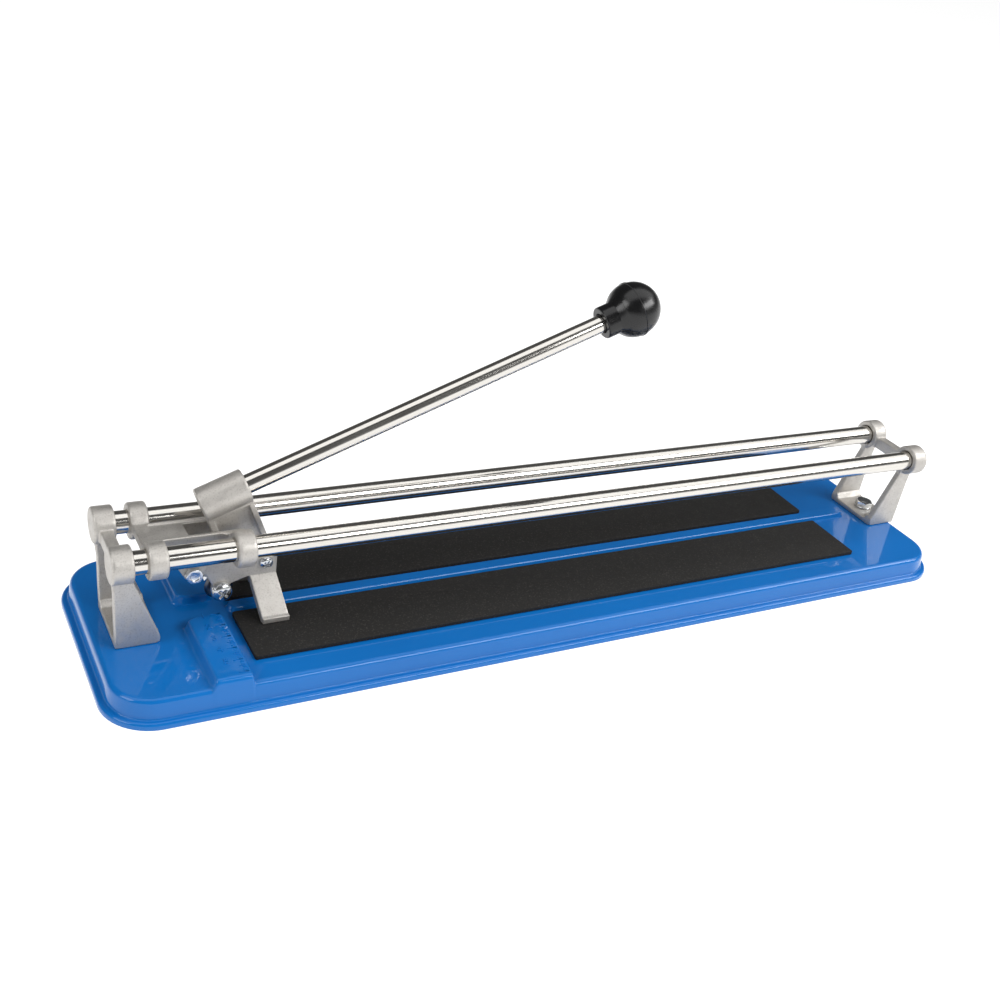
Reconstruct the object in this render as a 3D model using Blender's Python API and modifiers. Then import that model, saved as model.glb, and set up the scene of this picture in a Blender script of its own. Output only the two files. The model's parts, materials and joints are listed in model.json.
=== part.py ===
"""Manual tile cutter: pressed steel base, two guide rails, sliding carriage with a lever.

Metres, +Z up.  The origin is the middle of the base where it stands on the bench.
+X runs along the rails, away from the fence; -Y is the side the operator stands on.
"""
from math import atan2, cos, pi, radians, sin, sqrt

import bmesh
import bpy
from mathutils import Vector

MM = 0.001

# ---------------------------------------------------------------- driving dimensions
TILE_LENGTH = 400 * MM            # longest tile that the pads carry
FIT = 0.3 * MM                    # gap left between pieces that touch
RUNNING = 0.1 * MM                # radial play of a piece that turns or slides

# base pan
RIM_SIZE = (541 * MM, 137 * MM)
RIM_HEIGHT = 3.5 * MM
RIM_CORNER = 26 * MM
DECK_SIZE = (532 * MM, 129 * MM)
DECK_TOP = 14 * MM
DECK_CORNER = 22 * MM
DECK_DRAFT = 0.9 * MM
SHEET = 1.5 * MM

# fence, ridge and pads
FENCE_FACE = -199.5 * MM          # where the tile stops
FENCE_WIDTH = 22.5 * MM
FENCE_RISE = 5 * MM
FENCE_DRAFT = 1.2 * MM
FENCE_Y = (8.5 * MM, 64 * MM)
RIDGE_X = (-196 * MM, 237 * MM)
RIDGE_HALF_WIDTH = 5.2 * MM
RIDGE_RISE = 2.8 * MM
RIDGE_DRAFT = 1 * MM
PAD_START = -194.5 * MM
PAD_Y = (6.5 * MM, 47 * MM)
PAD_TOP = DECK_TOP + 2.5 * MM

# rails and end brackets
RAIL_RADIUS = 6 * MM
RAIL_Y = 19.3 * MM
RAIL_Z = 63 * MM
BOSS_RADIUS = 9.5 * MM
BOSS_DEPTH = 10.7 * MM
BOSS_END = 2.2 * MM               # wall that closes a boss
BRACKET_OUTER = {"left": -257.6 * MM, "right": 268.3 * MM}
BOSS_PROUD = 2.2 * MM             # boss stands out past the bracket's outer face
FOOT_LENGTH = 23 * MM
FOOT_HALF_WIDTH = 19.7 * MM
FOOT_THICKNESS = 3 * MM
LEG_THICKNESS = 4 * MM
LEG_TOP = 9.5 * MM
BRIDGE_Z = (57.5 * MM, 65 * MM)
BRIDGE_THICKNESS = 6.5 * MM

# carriage
RING_LEFT = (-242.2 * MM, -232.8 * MM)
RING_RIGHT = (-198.8 * MM, -189.4 * MM)
RING_RADIUS = 9.5 * MM
BUSH_WALL = 1.3 * MM
PLATE_TOP = 66.2 * MM
PLATE_THICKNESS = 4.5 * MM
PLATE_HALF_WIDTH = 8.6 * MM
LIP = 1 * MM
SLOT_HALF_WIDTH = 5.4 * MM
SLOT_START = -218 * MM
EAR_Y = (5.4 * MM, 8.4 * MM)
EAR_RADIUS = 4.8 * MM
EAR_X = (-232 * MM, -197 * MM)    # where the ears leave the plate

# lever
PIVOT = Vector((-216 * MM, 0, 45 * MM))
LEVER_ANGLE = radians(21.5)
SOCKET_CENTRE = Vector((-199.6 * MM, 0, 83.5 * MM))
SOCKET_RADIUS = 8.75 * MM
SOCKET_LENGTH = 25 * MM
TUBE_RADIUS = 5 * MM
TUBE_WALL = 1.2 * MM
KNOB_DISTANCE = 242.4 * MM        # socket centre to knob centre
KNOB_RADIUS = 15.3 * MM
COLLAR_RADIUS = 9 * MM
COLLAR_LENGTH = 8 * MM
APRON_HALF_WIDTH = 4.8 * MM
APRON_WALL = 3 * MM
APRON_LOW = (-30 * MM, -39 * MM)  # how far the apron's left and right sides reach below the socket's axis
WEB_HALF_WIDTH = 1.7 * MM

# wing plates and scoring wheel
WING_Y = (2 * MM, 5 * MM)
WING_FOOT_X = (-185.3 * MM, -171 * MM)
WING_TIP_Y = 22.3 * MM
WING_SHEAR = 0.15                 # the foot leans along +X as it goes out
WHEEL = Vector((-200.1 * MM, 0, 29.7 * MM))
WHEEL_RADIUS = 7.5 * MM
WHEEL_THICKNESS = 1.5 * MM
CLAMP = Vector((-177.1 * MM, 0, 43.6 * MM))

# fasteners: shank radius, head radius and head height
M6_HEX = (3 * MM, 5.77 * MM, 4 * MM)
M5_HEX = (2.5 * MM, 4.62 * MM, 3.5 * MM)
M6_PAN = (3 * MM, 5.5 * MM, 4 * MM)
M4_PAN = (2 * MM, 3.6 * MM, 2.6 * MM)
M6_NUT = (5.77 * MM, 5 * MM)
M5_NUT = (4.62 * MM, 4 * MM)
M4_NUT = (4.04 * MM, 3.2 * MM)
WASHER = (6.5 * MM, 1.2 * MM)
HEX_SIDES = 6
ROUND_SIDES = 32

# ---------------------------------------------------------------- scene and materials
for old in list(bpy.data.objects):
    bpy.data.objects.remove(old, do_unlink=True)

parts = bpy.data.collections.new("tile_cutter")
cutters = bpy.data.collections.new("cutters")
for group in (parts, cutters):
    bpy.context.scene.collection.children.link(group)


def material(name, colour, roughness, metallic):
    made = bpy.data.materials.new(name)
    made.use_nodes = True
    shader = made.node_tree.nodes["Principled BSDF"]
    shader.inputs["Base Color"].default_value = (*colour, 1)
    shader.inputs["Roughness"].default_value = roughness
    shader.inputs["Metallic"].default_value = metallic
    return made


BLUE = material("blue_paint", (0.019, 0.138, 0.474), 0.18, 0.0)
RUBBER = material("black_rubber", (0.012, 0.011, 0.010), 0.85, 0.0)
CHROME = material("chrome", (0.72, 0.70, 0.66), 0.10, 1.0)
CAST = material("cast_zinc", (0.48, 0.46, 0.43), 0.45, 0.85)
ZINC = material("zinc_plate", (0.60, 0.62, 0.64), 0.28, 1.0)
PLASTIC = material("black_plastic", (0.010, 0.010, 0.010), 0.22, 0.0)
CARBIDE = material("carbide", (0.35, 0.35, 0.36), 0.3, 1.0)

# ---------------------------------------------------------------- shared helpers


def add_object(name, mesh, finish, group=parts):
    made = bpy.data.objects.new(name, mesh)
    group.objects.link(made)
    if finish:
        mesh.materials.append(finish)
    return made


def mesh_from(name, bm, smooth_angle=None):
    mesh = bpy.data.meshes.new(name)
    bm.to_mesh(mesh)
    bm.free()
    if smooth_angle:
        mesh.shade_smooth()
        mesh.set_sharp_from_angle(angle=smooth_angle)
    return mesh


def block(name, low, high, finish=None, corner=0, draft=(0, 0), top_round=0, segments=6):
    """A box with upright corners rounded, its sides drawn in at the top by draft."""
    low, high = Vector(low), Vector(high)
    bm = bmesh.new()
    bmesh.ops.create_cube(bm, size=1)
    for vert in bm.verts:
        inset = draft if vert.co.z > 0 else (0, 0)
        for axis in range(3):
            side = 1 if vert.co[axis] > 0 else -1
            vert.co[axis] = (high if side > 0 else low)[axis]
            if axis < 2:
                vert.co[axis] -= side * inset[axis]
    if corner:
        upright = [e for e in bm.edges if abs(e.verts[0].co.z - e.verts[1].co.z) > 0.1 * MM]
        bmesh.ops.bevel(bm, geom=upright, offset=corner, segments=segments, affect="EDGES", profile=0.5)
    if top_round:
        rim = [e for e in bm.edges if all(abs(v.co.z - high.z) < 0.01 * MM for v in e.verts)]
        bmesh.ops.bevel(bm, geom=rim, offset=top_round, segments=2, affect="EDGES", profile=0.5)
    return add_object(name, mesh_from(name, bm, radians(35)), finish)


def cylinder(name, start, end, radius, finish=None, sides=ROUND_SIDES):
    """A round or hexagonal bar between two points."""
    start, end = Vector(start), Vector(end)
    bm = bmesh.new()
    bmesh.ops.create_cone(bm, cap_ends=True, segments=sides, radius1=radius, radius2=radius,
                          depth=(end - start).length)
    made = add_object(name, mesh_from(name, bm, radians(35) if sides > HEX_SIDES else None), finish)
    made.location = (start + end) / 2
    made.rotation_mode = "QUATERNION"
    made.rotation_quaternion = Vector((0, 0, 1)).rotation_difference(end - start)
    return made


def arc(centre, radius, start, end, steps=8):
    """Points on an arc, from start to end in degrees."""
    angles = [radians(start + (end - start) * i / steps) for i in range(steps + 1)]
    return [(centre[0] + radius * cos(a), centre[1] + radius * sin(a)) for a in angles]


PLANE_TURN = {"XZ": (pi / 2, 0, 0), "YZ": (pi / 2, 0, pi / 2)}
PLANE_PLACE = {"XZ": lambda depth: (0, depth, 0), "YZ": lambda depth: (depth, 0, 0)}


def outline(name, points, plane, span, finish=None):
    """A flat outline in the XZ or YZ plane, thickened over span on the third axis."""
    curve = bpy.data.curves.new(name, "CURVE")
    curve.dimensions = "2D"
    curve.fill_mode = "BOTH"
    curve.extrude = abs(span[1] - span[0]) / 2
    spline = curve.splines.new("POLY")
    spline.points.add(len(points) - 1)
    for point, (u, v) in zip(spline.points, points):
        point.co = (u, v, 0, 1)
    spline.use_cyclic_u = True
    drawn = bpy.data.objects.new(name + "_curve", curve)
    parts.objects.link(drawn)
    bpy.context.view_layer.update()
    mesh = bpy.data.meshes.new_from_object(drawn.evaluated_get(bpy.context.evaluated_depsgraph_get()))
    bpy.data.objects.remove(drawn)
    bm = bmesh.new()
    bm.from_mesh(mesh)
    bmesh.ops.remove_doubles(bm, verts=bm.verts, dist=0.001 * MM)
    bmesh.ops.recalc_face_normals(bm, faces=bm.faces)
    bm.to_mesh(mesh)
    bm.free()
    mesh.name = name
    mesh.materials.clear()
    made = add_object(name, mesh, finish)
    made.rotation_euler = PLANE_TURN[plane]
    made.location = PLANE_PLACE[plane]((span[0] + span[1]) / 2)
    return made


def turned(name, profile, finish, closed=False, sides=ROUND_SIDES):
    """A profile of (radius, height) points, outer side first from top to bottom, spun about Z."""
    mesh = bpy.data.meshes.new(name)
    edges = [(i, i + 1) for i in range(len(profile) - 1)]
    if closed:
        edges.append((len(profile) - 1, 0))
    mesh.from_pydata([(r, 0, z) for r, z in profile], edges, [])
    made = add_object(name, mesh, finish)
    spin = made.modifiers.new("spin", "SCREW")
    spin.axis = "Z"
    spin.steps = sides
    spin.render_steps = sides
    spin.use_merge_vertices = True
    spin.merge_threshold = 0.00001
    return made


def boolean(target, tool, operation):
    """Cut a tool out of the target, or join it on; the tool becomes a guide."""
    step = target.modifiers.new(tool.name, "BOOLEAN")
    step.operation = operation
    step.object = tool
    step.solver = "EXACT"
    for group in list(tool.users_collection):
        group.objects.unlink(tool)
    cutters.objects.link(tool)
    tool.hide_render = True
    tool.display_type = "WIRE"


def cut(target, *tools):
    for tool in tools:
        boolean(target, tool, "DIFFERENCE")


def join(target, *tools):
    for tool in tools:
        boolean(target, tool, "UNION")


def empty(name, place):
    made = bpy.data.objects.new(name, None)
    made.location = place
    made.empty_display_size = 10 * MM
    parts.objects.link(made)
    return made


def attach(child, parent):
    """Parent an object without moving it."""
    bpy.context.view_layer.update()
    place = child.matrix_world.copy()
    child.parent = parent
    child.matrix_parent_inverse = parent.matrix_world.inverted()
    child.matrix_world = place


# ---------------------------------------------------------------- base pan and pads


def pan_skin(prefix, offset):
    """The shapes that the sheet follows, moved inwards by offset."""
    low_z = -1 * MM if offset else 0
    rim = [side / 2 - offset for side in RIM_SIZE]
    deck = [side / 2 + DECK_DRAFT - offset for side in DECK_SIZE]
    shapes = [
        block(prefix + "_rim", (-rim[0], -rim[1], low_z), (rim[0], rim[1], RIM_HEIGHT - offset),
              corner=RIM_CORNER - offset, top_round=1.3 * MM - 0.5 * offset),
        block(prefix + "_deck", (-deck[0], -deck[1], low_z), (deck[0], deck[1], DECK_TOP - offset),
              corner=DECK_CORNER - offset, draft=(DECK_DRAFT, DECK_DRAFT), top_round=2 * MM - 0.5 * offset),
        block(prefix + "_ridge", (RIDGE_X[0] + offset, -RIDGE_HALF_WIDTH + offset, DECK_TOP - 3 * MM),
              (RIDGE_X[1] - offset, RIDGE_HALF_WIDTH - offset, DECK_TOP + RIDGE_RISE - offset),
              corner=(RIDGE_HALF_WIDTH - RIDGE_DRAFT - offset) * 0.96, draft=(RIDGE_DRAFT, RIDGE_DRAFT))]
    for side, name in ((-1, "near"), (1, "far")):
        ends = sorted((side * (FENCE_Y[0] + offset), side * (FENCE_Y[1] - offset)))
        shapes.append(block(
            f"{prefix}_fence_{name}",
            (FENCE_FACE - FENCE_WIDTH + offset, ends[0], DECK_TOP - 3 * MM),
            (FENCE_FACE - offset, ends[1], DECK_TOP + FENCE_RISE - offset),
            corner=1.5 * MM, draft=(FENCE_DRAFT, FENCE_DRAFT), top_round=0.8 * MM, segments=2))
    return shapes


bolt_x = {side: BRACKET_OUTER[side] + way * FOOT_LENGTH / 2 for side, way in (("left", 1), ("right", -1))}


def make_base_pan():
    outer = pan_skin("base_pan", 0)
    inner = pan_skin("pan_inside", SHEET)
    pan = outer[0]
    pan.name = "base_pan"
    pan.data.materials.append(BLUE)
    join(pan, *outer[1:])
    cut(pan, *inner)
    for side, x in bolt_x.items():
        cut(pan, cylinder(f"pan_hole_{side}", (x, 0, 8 * MM), (x, 0, 20 * MM), M6_HEX[0] + FIT, sides=24))


def make_pads():
    for name, side in (("near", -1), ("far", 1)):
        ends = sorted((side * PAD_Y[0], side * PAD_Y[1]))
        block(f"pad_{name}", (PAD_START, ends[0], DECK_TOP + FIT),
              (PAD_START + TILE_LENGTH, ends[1], PAD_TOP), RUBBER, corner=1 * MM, segments=2)


# ---------------------------------------------------------------- rails and end brackets


def boss_span(side):
    """Outer end and mouth of a bracket's bosses along X."""
    way = 1 if side == "left" else -1
    end = BRACKET_OUTER[side] - way * BOSS_PROUD
    return end, end + way * BOSS_DEPTH, way


def make_rails():
    start = boss_span("left")[0] + BOSS_END + FIT
    end = boss_span("right")[0] - BOSS_END - FIT
    for name, y in (("near", -RAIL_Y), ("far", RAIL_Y)):
        cylinder(f"rail_{name}", (start, y, RAIL_Z), (end, y, RAIL_Z), RAIL_RADIUS, CHROME)


def make_bracket(side):
    outer = BRACKET_OUTER[side]
    boss_end, boss_mouth, way = boss_span(side)
    foot = DECK_TOP + FIT
    name = f"end_bracket_{side}"
    inner = outer + way * FOOT_LENGTH
    bracket = block(name, (min(outer, inner), -FOOT_HALF_WIDTH + 1 * MM, foot),
                    (max(outer, inner), FOOT_HALF_WIDTH - 1 * MM, foot + FOOT_THICKNESS), CAST)
    under_boss = RAIL_Z - BOSS_RADIUS - 1 * MM
    leg = [(outer, foot), (inner - way * 1.5 * MM, foot), (inner, foot + 1.5 * MM), (inner, foot + 4 * MM),
           (outer + way * LEG_TOP, under_boss), (outer + way * (LEG_TOP - 1 * MM), RAIL_Z), (outer, RAIL_Z)]
    for sign, end in ((-1, "near"), (1, "far")):
        y = sign * RAIL_Y
        ends = sorted((sign * FOOT_HALF_WIDTH, sign * (FOOT_HALF_WIDTH - LEG_THICKNESS)))
        join(bracket, outline(f"{name}_leg_{end}", leg, "XZ", ends),
             cylinder(f"{name}_boss_{end}", (boss_end, y, RAIL_Z), (boss_mouth, y, RAIL_Z), BOSS_RADIUS))
    bridge = sorted((outer + way * 0.4 * MM, outer + way * BRIDGE_THICKNESS))
    join(bracket, block(f"{name}_bridge", (bridge[0], -RAIL_Y + 6 * MM, BRIDGE_Z[0]),
                        (bridge[1], RAIL_Y - 6 * MM, BRIDGE_Z[1])))
    for sign, end in ((-1, "near"), (1, "far")):
        y = sign * RAIL_Y
        cut(bracket, cylinder(f"{name}_bore_{end}", (boss_end + way * BOSS_END, y, RAIL_Z),
                              (boss_mouth + way * 2 * MM, y, RAIL_Z), RAIL_RADIUS + FIT))
    x = bolt_x[side]
    cut(bracket, cylinder(f"{name}_hole", (x, 0, foot - 2 * MM), (x, 0, foot + 8 * MM), M6_HEX[0] + FIT, sides=24))


def ring(name, centre, radius, hole, height, finish, sides=ROUND_SIDES, axis=(0, 0, 1)):
    """A washer, bush or nut: a bar with a hole through it, standing on centre along axis."""
    centre, axis = Vector(centre), Vector(axis)
    body = cylinder(name, centre, centre + axis * height, radius, finish, sides)
    cut(body, cylinder(name + "_hole", centre - axis * 2 * MM, centre + axis * (height + 2 * MM), hole, sides=24))
    return body


def make_bracket_fasteners(side):
    shank, head, head_height = M6_HEX
    x = bolt_x[side]
    seat = DECK_TOP + FIT + FOOT_THICKNESS + FIT
    bolt = cylinder(f"bracket_bolt_{side}", (x, 0, seat), (x, 0, seat + head_height), head, ZINC, HEX_SIDES)
    join(bolt, cylinder(f"bolt_shank_{side}", (x, 0, 3.5 * MM), (x, 0, seat + 1 * MM), shank, sides=24))
    washer_top = DECK_TOP - SHEET - FIT
    ring(f"bracket_washer_{side}", (x, 0, washer_top - WASHER[1]), WASHER[0], shank + FIT, WASHER[1], ZINC, 24)
    nut_top = washer_top - WASHER[1] - FIT
    ring(f"bracket_nut_{side}", (x, 0, nut_top - M6_NUT[1]), M6_NUT[0], shank + FIT, M6_NUT[1], ZINC, HEX_SIDES)


# ---------------------------------------------------------------- carriage


def ring_places():
    """Name, X span and Y of the four rings that ride on the rails."""
    for end, span in (("left", RING_LEFT), ("right", RING_RIGHT)):
        for side, y in (("near", -RAIL_Y), ("far", RAIL_Y)):
            yield f"{end}_{side}", span, y


def make_carriage(origin):
    plate_low = PLATE_TOP - PLATE_THICKNESS
    carriage = block("carriage", (RING_LEFT[0] + 1 * MM, -PLATE_HALF_WIDTH, plate_low),
                     (RING_RIGHT[1] - 0.5 * MM, PLATE_HALF_WIDTH, PLATE_TOP), CAST)
    for end, span in (("left", RING_LEFT), ("right", RING_RIGHT)):
        join(carriage, block(f"carriage_arm_{end}", (span[0] + 0.8 * MM, -RAIL_Y + 5 * MM, plate_low + 0.4 * MM),
                             (span[1] - 0.8 * MM, RAIL_Y - 5 * MM, PLATE_TOP - 0.4 * MM)))
    for side, sign in (("near", -1), ("far", 1)):
        lip = sorted((sign * (PLATE_HALF_WIDTH - 1.6 * MM), sign * (PLATE_HALF_WIDTH + 0.2 * MM)))
        join(carriage, block(f"carriage_lip_{side}", (RING_LEFT[1] - 2 * MM, lip[0], plate_low + 0.8 * MM),
                             (RING_RIGHT[0] + 2 * MM, lip[1], PLATE_TOP + LIP)))
        ear = [(EAR_X[0], plate_low + 1 * MM)]
        ear += arc((PIVOT.x, PIVOT.z), EAR_RADIUS, 215, 335, 8)
        ear += [(EAR_X[1], plate_low + 1 * MM)]
        join(carriage, outline(f"carriage_ear_{side}", ear, "XZ", sorted((sign * EAR_Y[0], sign * EAR_Y[1]))))
    for name, span, y in ring_places():
        join(carriage, cylinder(f"carriage_ring_{name}", (span[0], y, RAIL_Z), (span[1], y, RAIL_Z), RING_RADIUS))
    bore = RAIL_RADIUS + RUNNING + BUSH_WALL + FIT
    for name, span, y in ring_places():
        cut(carriage, cylinder(f"carriage_bore_{name}", (span[0] - 5 * MM, y, RAIL_Z),
                               (span[1] + 5 * MM, y, RAIL_Z), bore))
    cut(carriage, block("carriage_slot", (SLOT_START, -SLOT_HALF_WIDTH, plate_low - 6 * MM),
                        (RING_RIGHT[1] + 4 * MM, SLOT_HALF_WIDTH, PLATE_TOP + 6 * MM)),
        cylinder("carriage_pivot_hole", PIVOT - Vector((0, 20 * MM, 0)), PIVOT + Vector((0, 20 * MM, 0)),
                 M5_HEX[0] + RUNNING, sides=24))
    attach(carriage, origin)
    for name, span, y in ring_places():
        bush = ring(f"bush_{name}", (span[0] + 0.2 * MM, y, RAIL_Z), RAIL_RADIUS + RUNNING + BUSH_WALL,
                    RAIL_RADIUS + RUNNING, span[1] - span[0] - 0.4 * MM, CAST, axis=(1, 0, 0))
        attach(bush, origin)


def cross_bolt(name, centre, sizes, seat, reach, origin, sides=ROUND_SIDES):
    """A bolt along Y with its head on the near side; seat and reach are distances from Y = 0."""
    shank, head, height = sizes
    along = Vector((0, 1, 0))
    bolt = cylinder(name, centre - along * (seat + height), centre - along * seat, head, ZINC, sides)
    join(bolt, cylinder(name + "_shank", centre - along * (seat + 0.5 * height), centre + along * reach, shank,
                        sides=24))
    attach(bolt, origin)


def cross_nut(name, centre, sizes, hole, seat, origin):
    """A hexagonal nut along Y on the far side."""
    nut = ring(name, centre + Vector((0, seat, 0)), sizes[0], hole, sizes[1], ZINC, HEX_SIDES, (0, 1, 0))
    attach(nut, origin)


def make_pivot(origin):
    seat = EAR_Y[1] + FIT
    cross_bolt("pivot_bolt", PIVOT, M5_HEX, seat, seat + M5_NUT[1] + 1.5 * MM, origin, HEX_SIDES)
    cross_nut("pivot_nut", PIVOT, M5_NUT, M5_HEX[0] + FIT, seat, origin)


# ---------------------------------------------------------------- lever
along_lever = Vector((cos(LEVER_ANGLE), 0, sin(LEVER_ANGLE)))
off_lever = Vector((-sin(LEVER_ANGLE), 0, cos(LEVER_ANGLE)))


def lever_point(along, off):
    """A point in the lever's plane, from the socket's centre."""
    return SOCKET_CENTRE + along_lever * along + off_lever * off


def flat(point):
    return (point.x, point.z)


def make_lever_head(pivot):
    half = SOCKET_LENGTH / 2
    head = cylinder("lever_head", lever_point(-half, 0), lever_point(half, 0), SOCKET_RADIUS, CAST)
    side = half - 0.3 * MM
    frame = [flat(lever_point(-side, -4 * MM)), flat(lever_point(side, -4 * MM)),
             flat(lever_point(side, APRON_LOW[1])), flat(lever_point(-side, APRON_LOW[0]))]
    join(head, outline("lever_apron", frame, "XZ", (-APRON_HALF_WIDTH, APRON_HALF_WIDTH)))
    web = [flat(lever_point(-half + 2 * MM, APRON_LOW[0] + 4 * MM)), (-216 * MM, 50.5 * MM)]
    web += arc((PIVOT.x, PIVOT.z), 5.5 * MM, 95, 255, 8)
    web += arc((WHEEL.x, WHEEL.z), WHEEL_RADIUS + 1.5 * MM, 130, 60, 6)
    web += [(-184 * MM, 37.5 * MM), (-172.5 * MM, 37.5 * MM), (-172.5 * MM, 48 * MM),
            flat(lever_point(half - 2 * MM, APRON_LOW[1] + 4 * MM))]
    join(head, outline("lever_web", web, "XZ", (-WEB_HALF_WIDTH, WEB_HALF_WIDTH)))
    inside = half - APRON_WALL
    pocket = [flat(lever_point(-inside, -9.5 * MM)), flat(lever_point(inside, -9.5 * MM)),
              flat(lever_point(inside, APRON_LOW[1] + 3.5 * MM)), flat(lever_point(-inside, APRON_LOW[0] + 2 * MM))]
    for side, sign in (("near", -1), ("far", 1)):
        cut(head, outline(f"lever_pocket_{side}", pocket, "XZ", sorted((sign * 1.9 * MM, sign * 12 * MM))))
    cut(head, cylinder("lever_socket", lever_point(-half + 3 * MM, 0), lever_point(half + 4 * MM, 0),
                       TUBE_RADIUS + FIT))
    for name, centre, radius in (("pivot", PIVOT, M5_HEX[0] + RUNNING), ("clamp", CLAMP, M4_PAN[0] + FIT)):
        across = Vector((0, 20 * MM, 0))
        cut(head, cylinder(f"lever_hole_{name}", centre - across, centre + across, radius, sides=24))
    attach(head, pivot)


def make_lever_tube(pivot):
    start, end = -SOCKET_LENGTH / 2 + 3 * MM + FIT, KNOB_DISTANCE - 3 * MM
    tube = cylinder("lever_tube", lever_point(start, 0), lever_point(end, 0), TUBE_RADIUS, CHROME)
    cut(tube, cylinder("tube_hollow", lever_point(start - 5 * MM, 0), lever_point(end + 5 * MM, 0),
                       TUBE_RADIUS - TUBE_WALL, sides=24))
    attach(tube, pivot)


def make_knob(pivot):
    neck = -sqrt(KNOB_RADIUS ** 2 - COLLAR_RADIUS ** 2)
    neck_angle = -atan2(-neck, COLLAR_RADIUS)
    steps = 12
    angles = [pi / 2 + (neck_angle - pi / 2) * i / steps for i in range(steps + 1)]
    profile = [(KNOB_RADIUS * cos(a), KNOB_RADIUS * sin(a)) for a in angles]
    profile[0] = (0, KNOB_RADIUS)
    hole = TUBE_RADIUS + FIT
    foot = neck - COLLAR_LENGTH
    profile += [(COLLAR_RADIUS, foot + 0.8 * MM), (COLLAR_RADIUS - 0.8 * MM, foot), (hole, foot),
                (hole, -2.5 * MM), (0, -2.5 * MM)]
    knob = turned("knob", profile, PLASTIC)
    knob.location = lever_point(KNOB_DISTANCE, 0)
    knob.rotation_euler = (0, pi / 2 - LEVER_ANGLE, 0)
    attach(knob, pivot)


# ---------------------------------------------------------------- wing plates and wheel


def make_wing_plate(side, pivot):
    sign = -1 if side == "near" else 1
    name = f"wing_plate_{side}"
    boss = 4.6 * MM
    shape = arc((PIVOT.x, PIVOT.z), EAR_RADIUS, 100, 235, 8)
    shape += [(-208.5 * MM, 40.5 * MM), (-204.9 * MM, 33.5 * MM)]
    shape += arc((WHEEL.x, WHEEL.z), boss, 180, 360, 10)
    shape += [(-195.3 * MM, 33.1 * MM), (-185.7 * MM, 36.2 * MM), (-184 * MM, 33.1 * MM), (-171 * MM, 33.1 * MM),
              (-171 * MM, 48 * MM), (-206 * MM, 50.4 * MM)]
    plate = outline(name, shape, "XZ", sorted((sign * WING_Y[0], sign * WING_Y[1])), CAST)
    base = PAD_TOP + FIT
    section = [(3 * MM, 36.4 * MM), (5.4 * MM, 36 * MM), (WING_TIP_Y - 1.4 * MM, base + 3.6 * MM),
               (WING_TIP_Y, base + 2.8 * MM), (WING_TIP_Y, base), (WING_TIP_Y - 3 * MM, base),
               (4.6 * MM, 32 * MM), (3 * MM, 32 * MM)]
    foot = outline(name + "_foot", [(sign * y, z) for y, z in section], "YZ", WING_FOOT_X)
    for vert in foot.data.vertices:
        vert.co.z += WING_SHEAR * (abs(vert.co.x) - WING_Y[1])
    join(plate, foot)
    across = Vector((0, 10 * MM, 0))
    for hole, centre, radius in (("pivot", PIVOT, M5_HEX[0] + RUNNING), ("wheel", WHEEL, M6_PAN[0] + FIT),
                                 ("clamp", CLAMP, M4_PAN[0] + FIT)):
        cut(plate, cylinder(f"{name}_{hole}_hole", centre - across, centre + across, radius, sides=24))
    attach(plate, pivot)


def make_wheel_parts(pivot, axle):
    bore = M6_PAN[0] + RUNNING
    half = WHEEL_THICKNESS / 2
    edge = 0.1 * MM
    bevel = WHEEL_RADIUS - 1.3 * MM
    profile = [(bore, half), (bevel, half), (WHEEL_RADIUS, edge), (WHEEL_RADIUS, -edge), (bevel, -half), (bore, -half)]
    wheel = turned("scoring_wheel", profile, CARBIDE, closed=True, sides=48)
    wheel.location = WHEEL
    wheel.rotation_euler = (pi / 2, 0, 0)
    attach(wheel, axle)
    thickness = WING_Y[0] - 0.25 * MM - (half + 0.25 * MM)
    for side, low in (("near", -(WING_Y[0] - 0.25 * MM)), ("far", half + 0.25 * MM)):
        spacer = ring(f"wheel_spacer_{side}", WHEEL + Vector((0, low, 0)), 4.6 * MM, M6_PAN[0] + FIT, thickness,
                      ZINC, 24, (0, 1, 0))
        attach(spacer, pivot)
    seat = WING_Y[1] + FIT
    cross_bolt("wheel_screw", WHEEL, M6_PAN, seat, seat + M6_NUT[1] + 1.5 * MM, pivot)
    cross_nut("wheel_nut", WHEEL, M6_NUT, M6_PAN[0] + FIT, seat, pivot)
    cross_bolt("clamp_screw", CLAMP, M4_PAN, seat, seat + M4_NUT[1] + 1 * MM, pivot)
    cross_nut("clamp_nut", CLAMP, M4_NUT, M4_PAN[0] + FIT, seat, pivot)


# ---------------------------------------------------------------- the whole cutter
make_base_pan()
make_pads()
make_rails()
for end in ("left", "right"):
    make_bracket(end)
    make_bracket_fasteners(end)

carriage_origin = empty("carriage_slide", (PIVOT.x, 0, RAIL_Z))
lever_pivot = empty("lever_tilt", PIVOT)
attach(lever_pivot, carriage_origin)
wheel_axle = empty("wheel_spin", WHEEL)
attach(wheel_axle, lever_pivot)

make_carriage(carriage_origin)
make_pivot(carriage_origin)
make_lever_head(lever_pivot)
make_lever_tube(lever_pivot)
make_knob(lever_pivot)
for end in ("near", "far"):
    make_wing_plate(end, lever_pivot)
make_wheel_parts(lever_pivot, wheel_axle)
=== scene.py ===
import json
from math import cos, hypot, pi, radians, sin, sqrt

import bmesh
import bpy
from mathutils import Matrix, Vector


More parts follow.
